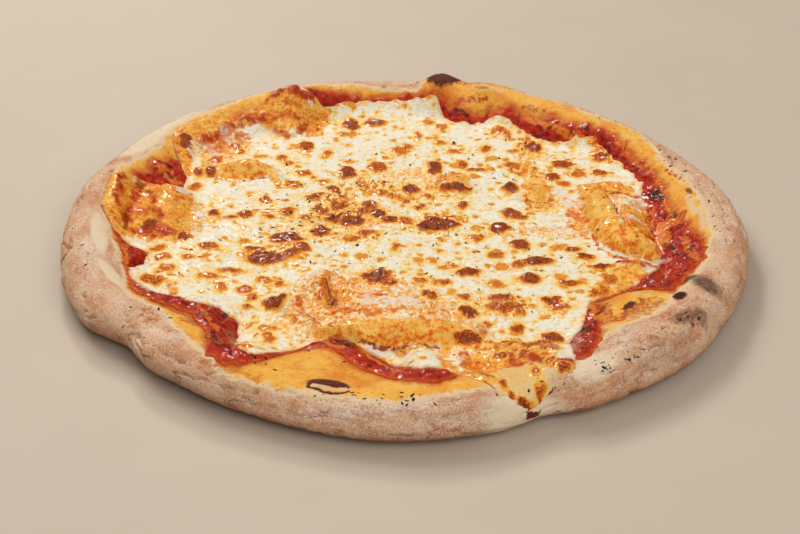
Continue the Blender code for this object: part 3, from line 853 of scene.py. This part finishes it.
# Places where tomato and fat have boiled up through the sheet and mottled it orange
BOILED = [
    (-28, -70, 30, 30, 0, 0.74), (-30, -50, 16, 12, 0, 0.8), (4, -60, 18, 18, 0, 0.6),
    (-44, -80, 14, 14, -30, 0.5), (34, -68, 16, 14, 0, 0.35), (40, -104, 26, 10, 0, 0.5),
    (-24, 14, 26, 16, 0, 0.74), (16, -78, 24, 14, 0, 0.68), (70, 32, 10, 12, 0, 0.6),
    (6, 58, 24, 8, 0, 0.55), (60, 0, 26, 6, 0, 0.5), (-94, 86, 18, 14, 30, 0.7),
    (-60, 114, 18, 15, 20, 0.62), (-128, 14, 14, 26, 0, 0.72), (-108, 4, 18, 14, 0, 0.66),
    (104, 30, 12, 22, 0, 0.5), (-50, 0, 14, 10, 0, 0.4), (16, 46, 26, 10, 0, 0.5),
    (66, 84, 10, 16, 0, 0.5)]
GOLDEN_STROKES = [
    (5.5, 1.0, (93, 40), (95, 10), (96, -2), (102, -12), (115, -16)),
    (5, 1.0, (-139, 38), (-139, 10)), (9, 0.7, (-90, 60), (-70, 62)),
    (8, 0.8, (-26, -95), (-4, -95), (26, -90)), (6, 0.5, (-110, 90), (-92, 110)),
    (7, 0.7, (27, 58), (27, 48)), (8, 0.6, (66, 54), (66, 34)), (7, 0.6, (-104, 22), (-100, 4)),
    (5, 0.7, (100, -32), (104, -44)), (5, 0.6, (20, -126), (30, -136))]
# Red where tomato shows through or is smeared over the sheet
STAIN_STROKES = [
    (1.8, 0.8, (-136, 32), (-136, 6)), (3, 0.8, (-129, 36), (-128, 16), (-131, 2)),
    (2, 0.8, (-122, 30), (-118, 14)), (2.5, 0.7, (-126, 12), (-114, 4)),
    (4, 0.9, (-124, -3), (-108, -6)), (4, 0.8, (-126, 46), (-114, 44)),
    (3, 0.8, (-102, 88), (-92, 100), (-82, 108), (-73, 112)),
    (2.5, 0.9, (-74, 122), (-63, 128), (-50, 130)), (2, 0.8, (-68, 104), (-60, 101)),
    (2, 0.8, (-52, 112), (-54, 104)),
    (0.8, 0.7, (89, -4), (92, -15), (98, -22), (108, -26), (117, -26)),
    (5, 0.5, (-98, 82), (-84, 96)), (3, 0.9, (101, 42), (112, 38), (121, 42)),
    (3, 0.9, (121, 30), (122, 6)), (2.5, 0.9, (118, -4), (113, -10)),
    (1.6, 0.7, (-35, -46), (-36, -64)), (1.2, 0.6, (-46, -62), (-43, -72), (-46, -82)),
    (1.5, 0.6, (-20, -60), (-8, -66)), (1.5, 0.6, (-28, -76), (-14, -80), (0, -78)),
    (1.5, 0.7, (-46, -74), (-34, -88)), (1.3, 0.8, (-29, -97), (-22, -100)),
    (1.5, 0.6, (9, -84), (11, -92)),
    (2.2, 1.0, (50, -98), (52, -112), (57, -122), (63, -127), (68, -125)),
    (3, 0.6, (26, -106), (28, -122)), (1.5, 0.5, (-4, -98), (2, -108)),
    (2, 0.7, (-104, -48), (-102, -55)), (1.5, 0.8, (84, 104), (96, 94), (106, 85)),
    (2.5, 0.6, (-100, 70), (-94, 64)), (3, 0.5, (-72, 110), (-62, 114), (-52, 113)),
    (2, 0.5, (-62, 122), (-54, 122)), (2, 0.7, (-66, -122), (-60, -126)),
    (3, 0.8, (42, -100), (50, -96)), (2.5, 0.7, (20, 56), (17, 44)),
    (1.5, 0.7, (99, -27), (112, -28)), (2.2, 0.8, (45, -104), (48, -120))]
# Painted shade, dark brown, in the hollows and under the folds, and scorched folds
DEEP_SHADE_AND_SCORCH_STROKES = [
    (3, 0.7, (-130, 42), (-127, 33), (-120, 28)), (1.8, 0.8, (-131, 6), (-129, -6)),
    (2.5, 1.0, (-122, 1), (-117, 0)), (2.5, 0.9, (-103, -3), (-103, -10)),
    (3, 1.0, (-111, 83), (-110, 77)), (1.0, 0.7, (-92, 50), (-80, 50), (-66, 54)),
    (1.2, 0.9, (100, 31), (102, 16), (103, 0), (108, -8)), (2, 0.7, (100, 41), (104, 37)),
    (2, 0.8, (52, 48), (53, 36)), (1.1, 1.0, (-34, -46), (-31, -58)),
    (3, 0.7, (-30, -60), (-29, -70)), (1.1, 0.8, (-20, -101), (-2, -103), (16, -101)),
    (4, 0.45, (60, -104), (62, -118)), (1.6, 0.9, (45, -149), (52, -148)),
    (2, 0.7, (122, 26), (118, 18)), (1.5, 0.7, (-124, -4), (-116, -8)),
    (1.5, 0.8, (-70, 123), (-64, 127))]
# Pale, wet film that has not taken colour, and a few painted highlights on wet folds
PALE_FILM_AND_HIGHLIGHT_STROKES = [
    (3.5, 1.0, (-107, 46), (-107, 27)), (1.8, 0.9, (108, 24), (115, 25)),
    (2.4, 0.9, (108, 7), (114, 8)), (1.8, 0.9, (-126, -11), (-117, -13)),
    (5, 0.55, (-100, 84), (-96, 78)), (5, 0.55, (-92, 98), (-88, 92)),
    (4, 0.8, (78, 46), (80, 30)), (3, 0.55, (-74, 103), (-66, 103)),
    (5, 0.7, (-16, -72), (4, -72)), (1.4, 0.8, (26, -108), (24, -114)),
    (2, 0.8, (57, 36), (56, 30)), (3, 0.6, (-40, -46), (-36, -40)), (2, 0.8, (116, 46), (118, 42)),
    (1.6, 0.8, (-44, -94), (-36, -97)), (3, 0.6, (-14, -58), (-16, -66)),
    (2.5, 0.8, (64, -112), (66, -122)), (3, 0.6, (-4, -52), (-2, -60)),
    (3, 0.6, (14, -104), (18, -112))]
# Thin film that ran over the rim and takes the colour of the dough under it
GLAZED = [(47, -134, 24, 18, 0, 1.0), (50, -150, 16, 9, 0, 1.0), (36, -128, 9, 14, 30, 0.9)]
# There it lies straight on the dough, without sauce under it
OVERFLOWED = (47, -142, 34, 26, 0, 1.0)
OVERFLOW_DROP = 1.5 * MM

# Folds of the sheet as (half width, height in mm, points): a valley has a negative height
FOLDS = [
    (6.5, 4.2, (93, 40), (95, 26), (95, 10), (96, 0), (99, -8), (105, -14), (115, -15)),
    (2.2, -2, (101, 30), (103, 16), (104, 0), (108, -8)),
    (2.2, 2, (100, 38), (112, 33), (122, 40)), (2.2, 1.8, (104, 15), (114, 16), (125, 20)),
    (2, 1.4, (110, -6), (117, 0), (122, 8)), (4, 2.2, (-139, 38), (-138, 20), (-136, 2)),
    (5.5, -2.2, (-131, 42), (-127, 31), (-120, 27)), (3, 1.5, (-98, 16), (-97, 2)),
    (3, 1.2, (-126, 12), (-116, 6)), (2.5, 1.2, (-108, -8), (-102, -6)),
    (4, 2.0, (-96, 58), (-84, 61), (-74, 62), (-64, 56)), (3, 1.5, (-112, 84), (-109, 76)),
    (1.8, -2.4, (-33, -47), (-31, -58), (-31, -70)), (3, 1.2, (-38, -48), (-36, -64)),
    (3, 1.2, (-24, -52), (-21, -68)), (8, 4.0, (-24, -95), (-6, -94), (12, -92), (28, -88)),
    (3, 2.0, (-50, -72), (-42, -82), (-32, -92)), (2, 1.2, (-40, -78), (-32, -94)),
    (3, 1.4, (52, 46), (54, 34)), (2.5, 1.0, (100, -27), (112, -28)),
    (5, 2.0, (-36, -44), (-46, -56), (-52, -68)), (3, 1.0, (-64, 128), (-50, 130)),
    (3, 1.0, (-72, 112), (-58, 103))]

side = np.linspace(-1, 1, CHEESE_CELLS + 1)
u, v = np.meshgrid(side, side, indexing="ij")
share = np.maximum(np.abs(u), np.abs(v))
wide = np.abs(u) >= np.abs(v)
safe_u, safe_v = np.where(u == 0, 1, u), np.where(v == 0, 1, v)
turn = np.where(wide, np.pi / 4 * v / safe_u + np.where(u < 0, np.pi, 0),
                np.pi / 2 - np.pi / 4 * u / safe_v + np.where(v < 0, np.pi, 0))
turn = np.where(share == 0, 0, turn)
reach = cheese_edge(np.degrees(turn) % 360)
radius = reach * (share + CELL_BULGE * np.sin(np.pi * share) * share)
x, y = radius * np.cos(turn), radius * np.sin(turn)
to_edge = np.maximum(edge_distance(x, y, cheese_edge), 0)
to_edge[[0, -1], :] = 0
to_edge[:, [0, -1]] = 0
flat = np.stack([x, y, 0 * x], axis=-1)
warp_x = x + MM * layered(flat, DRIFT_X)
warp_y = y + MM * layered(flat, DRIFT_Y)
brown = np.full_like(x, FAR_FROM_BROWN)
for spot_x, spot_y, width, depth, dark in BROWNED:
    away = ellipse_distance(warp_x, warp_y, spot_x, spot_y, width / 2 + BUBBLE_MARGIN,
                            depth / 2 + BUBBLE_MARGIN, 0)
    inside = (1 - away) * min(width, depth) / 2
    darkest = 0.3 + 1.9 * dark ** 1.5
    brown = np.maximum(brown, np.minimum(inside * np.where(inside > 0, 2.6, 0.9), darkest))
simmered = patches(warp_x, warp_y, SIMMERED)
golden = strokes(warp_x, warp_y, GOLDEN_STROKES)
boiled = patches(warp_x, warp_y, BOILED)
film = np.maximum(patches(warp_x, warp_y, FILM), strokes(warp_x, warp_y, FILM_STROKES))
glazed = patches(warp_x, warp_y, GLAZED)
folds = np.zeros_like(x)
for half_width, rise, *path in FOLDS:
    folds += rise * strokes(warp_x, warp_y, [(half_width, 1, *path)])

lip = ramp(0, LIP_WIDTH, to_edge) * (1 - glazed)
roll = np.sqrt(1 - (1 - np.clip(to_edge / EDGE_ROLL, 0, 1)) ** 2)
thickness = CHEESE_LIP + (CHEESE_THICKNESS - CHEESE_LIP) * lip - GLAZE_THINNER * glazed
broad = layered(flat, CHEESE_SAG)
crinkle = lumps(flat, 2.4, 35, 2)
raised = BUBBLE_RISE * ramp(-1.0, 1.5, brown) + folds * ramp(0, 4 * MM, to_edge)
rough = 0.2 + 0.5 * np.maximum(simmered, film) + 0.6 * boiled + 0.3 * ramp(0, 2, brown)
raised += crinkle * rough * (1 - glazed) * (1 - 0.7 * golden)
relief = (broad * lip + raised * roll) * MM
bed = 2 * LAYER_GAP + SOAKED_THICKNESS * ramp(-1 * MM, 2 * MM, edge_distance(x, y, sauce_edge))
bed -= OVERFLOW_DROP * patches(x, y, [OVERFLOWED]) * ramp(4 * MM, 0, to_edge)
top = dough_top(x, y) + bed \
    + np.maximum(thickness * roll + relief * roll, LEAST_CHEESE * roll)
points = np.stack([x, y, top], axis=-1).reshape(-1, 3)
cells = CHEESE_CELLS + 1
corner = np.arange(cells * cells).reshape(cells, cells)
faces = np.stack([corner[:-1, :-1], corner[1:, :-1], corner[1:, 1:], corner[:-1, 1:]],
                 axis=-1).reshape(-1, 4).tolist()
rim_loop = np.concatenate([corner[:-1, 0], corner[-1, :-1], corner[:0:-1, -1], corner[0, :0:-1]])
loop = points[rim_loop]
under = []
for share_in in UNDER_CHEESE_SHARES:
    ux, uy = loop[:, 0] * share_in, loop[:, 1] * share_in
    under.append(np.stack([ux, uy, dough_top(ux, uy) + LAYER_GAP], axis=-1))
under[0][:, 2] -= CHEESE_TUCK
under_start = len(points)
points = np.vstack([points, *under, [[0, 0, FLOOR_THICKNESS + LAYER_GAP + SOAKED_THICKNESS]]])
after = np.roll(rim_loop, -1)
here = under_start + np.arange(len(rim_loop))
faces += np.stack([rim_loop, here, np.roll(here, -1), after], axis=-1).tolist()
faces += ring_faces(len(under), len(rim_loop), under_start)[:, ::-1].tolist()
faces += fan_faces(under_start + (len(under) - 1) * len(rim_loop), len(rim_loop),
                   len(points) - 1, False).tolist()
hidden = len(points) - cells * cells
cheese_fields = {"brown": brown, "simmered": simmered, "film": film, "glazed": glazed,
                 "stained": strokes(warp_x, warp_y, STAIN_STROKES),
                 "golden": golden, "boiled": boiled,
                 "deep": strokes(warp_x, warp_y, DEEP_SHADE_AND_SCORCH_STROKES),
                 "pale": strokes(warp_x, warp_y, PALE_FILM_AND_HIGHLIGHT_STROKES), "to_edge": to_edge / MM}
cheese_fields = {field: np.append(values.reshape(-1), np.full(hidden, FAR_FROM_BROWN))
                 for field, values in cheese_fields.items()}
cheese = mesh_piece("melted_mozzarella", points + CENTRING, faces, cheese_fields)

IVORY = colour(244, 239, 220)
CREAM = colour(250, 218, 138)
BUTTER = colour(250, 206, 104)
AMBER = colour(238, 156, 48)
ORANGE = colour(222, 112, 22)
RUST = colour(184, 84, 20)
BROWN = colour(152, 62, 14)
DARK = colour(104, 42, 12)
FILM_PALE = colour(252, 208, 112)
FILM_GOLD = colour(254, 178, 62)
FILM_ORANGE = colour(236, 122, 34)
FILM_RUST = colour(200, 72, 24)
STAIN = colour(182, 56, 18)
DEEP_SHADE_AND_SCORCH = colour(148, 54, 14)
BOILED_RED = colour(208, 72, 22)
BOILED_GOLD = colour(252, 190, 78)
THIN_EDGE = colour(228, 158, 112)
WET_WHITE_AND_HIGHLIGHT = colour(238, 220, 200)
BARE_SKIN = colour(228, 196, 150)
GLAZE = colour(232, 190, 128)
GLAZE_BUTTER = colour(240, 198, 118)

melted = Finish("melted_cheese", Subsurface_Weight=0.1, Subsurface_Scale=0.003,
                Coat_Roughness=0.08, Specular_IOR_Level=0.12)
fine = melted.grain(1.3, 4, 0.6)
blotch = melted.grain(3.0, 3, 0.55, 0.5)
mottle = melted.grain(10, 5, 0.62, 0.8)
shaken = melted.node("ShaderNodeVectorMath", operation="MULTIPLY_ADD")
cloud = melted.node("ShaderNodeTexNoise")
melted.feed(cloud.inputs["Vector"], melted.place)
cloud.inputs["Scale"].default_value = 1 / (2.5 * MM)
melted.feed(shaken.inputs[0], cloud.outputs["Color"])
shaken.inputs[1].default_value = (2.6 * MM, 2.6 * MM, 2.6 * MM)
melted.feed(shaken.inputs[2], melted.place)


def flecks(finish, size, fewest):
    """Level in mm of small round flecks, one at most in each cell of that size in mm."""
    cells = finish.node("ShaderNodeTexVoronoi")
    finish.feed(cells.inputs["Vector"], shaken.outputs[0])
    cells.inputs["Scale"].default_value = 1 / (size * MM)
    parts = finish.node("ShaderNodeSeparateColor")
    finish.feed(parts.inputs[0], cells.outputs["Color"])
    reach = finish.step(parts.outputs[0], fewest, 1.0, -0.2, 0.36)
    return finish.sum(finish.maths("MULTIPLY", reach, size), cells.outputs["Distance"], -size)


film_line = melted.ragged("film", blotch, 0.6)
film_share = melted.step(film_line, 0.3, 0.6)
small = melted.sum(flecks(melted, 4.4, 0.38), melted.swing(mottle, 5.0))
large = melted.sum(flecks(melted, 9.0, 0.40), melted.swing(mottle, 5.0))
simmer = melted.sum(melted.swing(blotch, 8.0), melted.field("simmered"), 4.1)
simmer = melted.sum(simmer, -3.0)
lively = melted.maths("MINIMUM", melted.larger(small, large), 0.15)
lively = melted.larger(lively, simmer)
lively = melted.sum(lively, film_share, -3.0)
lively = melted.sum(lively, melted.field("glazed"), -3.0)
lively = melted.sum(lively, melted.field("boiled"), -2.2)
toast = melted.larger(lively, melted.field("brown"))
crackle = melted.swing(melted.grain(0.9, 2, 0.7), 7.0)
toast = melted.sum(toast, melted.maths("MULTIPLY", crackle, melted.step(toast, -0.2, 1.2)))
toast = melted.sum(toast, melted.swing(fine, 1.4))
toast = melted.sum(toast, melted.swing(blotch, 1.8))

base = melted.lay(IVORY, CREAM, mottle, 0.50, 0.66, 0.64)
base = melted.lay(base, BUTTER, toast, -2.2, -0.9, 0.62)
film_cloud = melted.sum(melted.sum(mottle, melted.swing(blotch, 1.2)), melted.swing(fine, 0.9))
film_cloud = melted.sum(film_cloud, melted.field("golden"), -0.12)
film_tint = melted.stops(film_cloud, (0.24, FILM_PALE),
                         (0.42, FILM_GOLD), (0.60, FILM_ORANGE), (0.86, FILM_RUST))
base = melted.mix(film_share, base, film_tint)
glaze_line = melted.ragged("glazed", blotch, 0.6)
glaze_tint = melted.lay(GLAZE, GLAZE_BUTTER, blotch, 0.4, 0.65)
inland = melted.ragged("to_edge", blotch, 9.0)
glaze_tint = melted.lay(BARE_SKIN, glaze_tint, inland, 2.0, 14.0)
thin_line = melted.ragged("to_edge", blotch, 5.0)
base = melted.mix(melted.step(thin_line, 0.0, 2.0, 0.75, 0.0), base, THIN_EDGE)
film_over_glaze = melted.sum(melted.step(glaze_line, 0.3, 0.6), film_share, -1.0)
base = melted.lay(base, glaze_tint, film_over_glaze, 0.0, 1.0)
grit = melted.grain(2.0, 3, 0.7, 0.6)
boiled_tint = melted.stops(fine, (0.38, FILM_GOLD), (0.5, FILM_ORANGE), (0.64, BOILED_RED))
base = melted.lay(base, BOILED_GOLD, melted.ragged("boiled", grit, 4.0), 0.25, 0.65, 0.85)
base = melted.lay(base, boiled_tint, melted.ragged("boiled", grit, 4.0), 0.65, 1.0, 0.92)
base = melted.lay(base, ORANGE, melted.ragged("stained", blotch, 1.8), 0.15, 0.5, 0.8)
base = melted.lay(base, STAIN, melted.ragged("stained", blotch, 1.8), 0.5, 0.95, 0.95)
# Pale wet film, and a few painted highlights on wet folds
base = melted.lay(base, WET_WHITE_AND_HIGHLIGHT, melted.ragged("pale", blotch, 1.4), 0.4, 0.8, 0.9)
# Painted shade in the hollows and under the folds, with scorched places
base = melted.lay(base, DEEP_SHADE_AND_SCORCH, melted.ragged("deep", blotch, 1.6), 0.35, 0.8, 0.92)
browned = melted.stops(melted.step(toast, -2.0, 4.0), (0.14, BUTTER), (0.26, AMBER),
                       (0.40, ORANGE), (0.54, RUST), (0.72, BROWN), (0.94, DARK))
base = melted.lay(base, browned, toast, -1.2, -0.2)
oily = melted.larger(film_share, melted.step(toast, -1.0, 0.6))
melted.feed(melted.shader.inputs["Coat Weight"], melted.step(oily, 0.0, 1.0, 0.06, 0.5))
melted.paint(base, melted.step(oily, 0.0, 1.0, 0.45, 0.3))
melted.bump(melted.sum(fine, blotch, 0.6), 1.0)
cheese.data.materials.append(melted.material)
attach(cheese, "root")
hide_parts("mozzarella")

# ---------------------------------------------------------------------------------------------
# Dried oregano. Crumbled dried leaf strewn over the pizza before baking: thin dark olive flakes
# of a few millimetres that lie on the cheese and the sauce.

depsgraph = bpy.context.evaluated_depsgraph_get()
surfaces = [BVHTree.FromObject(piece, depsgraph) for piece in (crust, sauce, cheese)]


def surface_under(x, y):
    """Highest point of the pizza at this place, and the direction that it faces."""
    hits = [tree.ray_cast(Vector((x, y, 0.1)), Vector((0, 0, -1))) for tree in surfaces]
    return max((hit[:2] for hit in hits if hit[0] is not None), key=lambda hit: hit[0].z)


def flakes(name, places, thickness, seed):
    """Thin irregular flakes laid on the pizza, as one mesh, from (x, y, length) in mm."""
    random = np.random.default_rng(seed)
    points, faces, shades = [], [], []
    for x, y, length in places:
        spot, normal = surface_under(x * MM + CENTRING[0], y * MM + CENTRING[1])
        corners = int(random.integers(5, 8))
        around = (np.arange(corners) + random.uniform(-0.3, 0.3, corners)) * 2 * np.pi / corners
        reach = random.uniform(0.7, 1.15, corners) * length * MM / 2
        spread = [reach * np.cos(around), reach * np.sin(around) * random.uniform(0.25, 0.6)]
        forward = normal.orthogonal().normalized()
        forward.rotate(Matrix.Rotation(random.uniform(0, 2 * np.pi), 3, normal))
        forward = (forward + normal * random.uniform(-0.12, 0.12)).normalized()
        axes = np.array([forward, normal.cross(forward), normal])
        first = len(points)
        for height in (-0.1 * MM, thickness * MM):
            curl = 0.25 * (spread[0] / (length * MM)) ** 2 * length * MM
            local = np.stack([*spread, height + curl], axis=-1)
            points += (np.array(spot) + local @ axes).tolist()
        bottom = list(range(first, first + corners))
        top = list(range(first + corners, len(points)))
        faces += [bottom[::-1], top]
        faces += [[bottom[i], bottom[(i + 1) % corners], top[(i + 1) % corners], top[i]]
                  for i in range(corners)]
        shades += [random.uniform(0, 1)] * (2 * corners)
    return mesh_piece(name, np.array(points), faces, {"shade": np.array(shades)})


# Where the leaf fell, as (x, y, spread in mm, number of flakes)
SPRINKLED = [
    (-33, 12, 6, 34), (-44, 28, 16, 34), (-20, 0, 20, 36), (-55, -4, 16, 22), (32, -16, 14, 34),
    (50, -32, 18, 18), (0, 62, 24, 34), (-30, 68, 18, 20), (30, 96, 22, 20), (60, 70, 18, 16),
    (-10, -36, 20, 18), (-35, -54, 12, 10), (-100, -22, 18, 10), (90, -22, 16, 10),
    (0, 0, 80, 110), (-117, 56, 4, 5), (-125, 0, 8, 6), (108, 30, 12, 8), (62, 116, 12, 8),
    (-26, -102, 8, 5), (76, -104, 6, 5), (-104, 80, 8, 6)]
FARTHEST_LEAF = 128
random = np.random.default_rng(41)
leaf_places = []
for centre_x, centre_y, spread, number in SPRINKLED:
    for across, along in random.normal(0, spread, (number, 2)):
        if np.hypot(centre_x + across, centre_y + along) < FARTHEST_LEAF:
            size = 0.7 + 2.2 * random.random() ** 2
            leaf_places.append((centre_x + across, centre_y + along, size))
oregano = flakes("oregano_flakes", leaf_places, 0.12, 43)

leaf = Finish("dried_leaf", Specular_IOR_Level=0.2)
leaf.paint(leaf.stops(leaf.field("shade"), (0.0, colour(30, 32, 20)), (0.35, colour(70, 70, 34)),
                      (0.6, colour(112, 108, 52)), (0.8, colour(84, 56, 28)),
                      (1.0, colour(40, 40, 26))), 0.7)
oregano.data.materials.append(leaf.material)
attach(oregano, "root")

# ---------------------------------------------------------------------------------------------
# Charred specks. Burnt flour and crumbs from the oven floor that stuck to the rim: black flakes
# of about a millimetre, most of them in rows along the front.

# Where they lie, as (angle, radius in mm, spread in degrees, spread in mm, number)
SPECKLED = [
    (308, 151, 4, 2, 18), (303, 153, 0.6, 1.2, 8), (267, 152, 5, 2.5, 20), (242, 139, 4, 3, 12),
    (191, 151, 6, 4, 6), (325, 152, 4, 4, 8), (0, 149, 10, 4, 12), (22, 146, 5, 3, 8),
    (155, 148, 12, 5, 7), (290, 151, 5, 4, 6), (221, 143, 6, 8, 9), (60, 152, 30, 3, 12)]
speck_places = []
for angle, radius, spread_round, spread_out, number in SPECKLED:
    for along, out in random.normal(0, 1, (number, 2)):
        turn, length = np.radians(angle + along * spread_round), radius + out * spread_out
        length = min(length, outer_edge(np.array([np.degrees(turn) % 360]))[0] / MM - 2)
        size = 0.9 + 1.8 * random.random() ** 2
        speck_places.append((length * np.cos(turn), length * np.sin(turn), size))
specks = flakes("charred_specks", speck_places, 0.15, 47)
soot = Finish("charred_flour", Specular_IOR_Level=0.2)
soot.paint(soot.stops(soot.field("shade"), (0.0, colour(34, 26, 24)),
                      (1.0, colour(84, 54, 38))), 0.85)
specks.data.materials.append(soot.material)
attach(specks, "root")

# ---------------------------------------------------------------------------------------------
# The table, the light and the camera. A plain pale table top under soft daylight from a large
# window behind and to the left, with a weak fill from the front.

FLOOR_SIZE = 6.0
table_points = np.array([[-1, -1, 0], [1, -1, 0], [1, 1, 0], [-1, 1, 0]]) * FLOOR_SIZE / 2
table = mesh_piece("table", table_points - np.array([0, 0, 0.2 * MM]), [[0, 1, 2, 3]])
pale = Finish("pale_table")
pale.paint(pale.mix(pale.grain(60, 3), colour(192, 177, 160), colour(198, 184, 167)), 0.6)
table.data.materials.append(pale.material)

world = bpy.data.worlds.new("daylight")
world.use_nodes = True
sky = world.node_tree
rise = sky.nodes.new("ShaderNodeMapRange")
parts = sky.nodes.new("ShaderNodeSeparateXYZ")
sky.links.new(sky.nodes.new("ShaderNodeTexCoord").outputs["Generated"], parts.inputs[0])
sky.links.new(parts.outputs["Z"], rise.inputs["Value"])
LOW_SKY, TOP_SKY, DIM, BRIGHT = 0.45, 1.0, 0.07, 0.55
for socket, number in zip(("From Min", "From Max", "To Min", "To Max"),
                          (LOW_SKY, TOP_SKY, DIM, BRIGHT)):
    rise.inputs[socket].default_value = number
sky.links.new(rise.outputs["Result"], sky.nodes["Background"].inputs["Strength"])
sky.nodes["Background"].inputs["Color"].default_value = (1.0, 0.95, 0.88, 1)
bpy.context.scene.world = world


def window(name, place, aim, width, height, power, tint, mirrored):
    """A soft rectangular light at place that shines towards aim, mirrored in wet places or not."""
    light = bpy.data.lights.new(name, "AREA")
    light.shape = "RECTANGLE"
    light.size, light.size_y = width, height
    light.energy, light.color = power, tint
    lamp = bpy.data.objects.new(name, light)
    lamp.location = place
    lamp.rotation_euler = (Vector(aim) - Vector(place)).to_track_quat("-Z", "Y").to_euler()
    lamp.visible_glossy = mirrored
    bpy.context.scene.collection.objects.link(lamp)


window("window", (-0.9, 1.1, 1.4), (0, 0, 0), 1.0, 0.8, 22, (1.0, 0.97, 0.93), False)
window("lamp", (-0.35, 1.3, 1.05), (0, 0, 0), 0.26, 0.26, 7, (1.0, 0.96, 0.9), True)
window("fill", (0.6, -1.3, 1.2), (0, 0, 0), 1.8, 1.2, 20, (1.0, 0.98, 0.96), False)

LENS = 76.5
ELEVATION, ROLL = np.radians(30.144), np.radians(0.584)
DISTANCE = 0.79197
AIM = np.array([-0.00078, -0.01774, 0]) + CENTRING
across = np.array([1, 0, 0])
upward = np.array([0, np.sin(ELEVATION), np.cos(ELEVATION)])
backward = np.array([0, -np.cos(ELEVATION), np.sin(ELEVATION)])
right_axis = np.cos(ROLL) * across + np.sin(ROLL) * upward
up_axis = np.cos(ROLL) * upward - np.sin(ROLL) * across
lens = bpy.data.cameras.new("camera")
lens.lens, lens.sensor_width = LENS, 36
lens.clip_start = 0.01
camera = bpy.data.objects.new("camera", lens)
axes = Matrix(np.stack([right_axis, up_axis, backward], axis=1).tolist()).to_4x4()
camera.matrix_world = Matrix.Translation(AIM + backward * DISTANCE) @ axes
bpy.context.scene.collection.objects.link(camera)
bpy.context.scene.camera = camera
bpy.context.scene.view_settings.view_transform = "Standard"
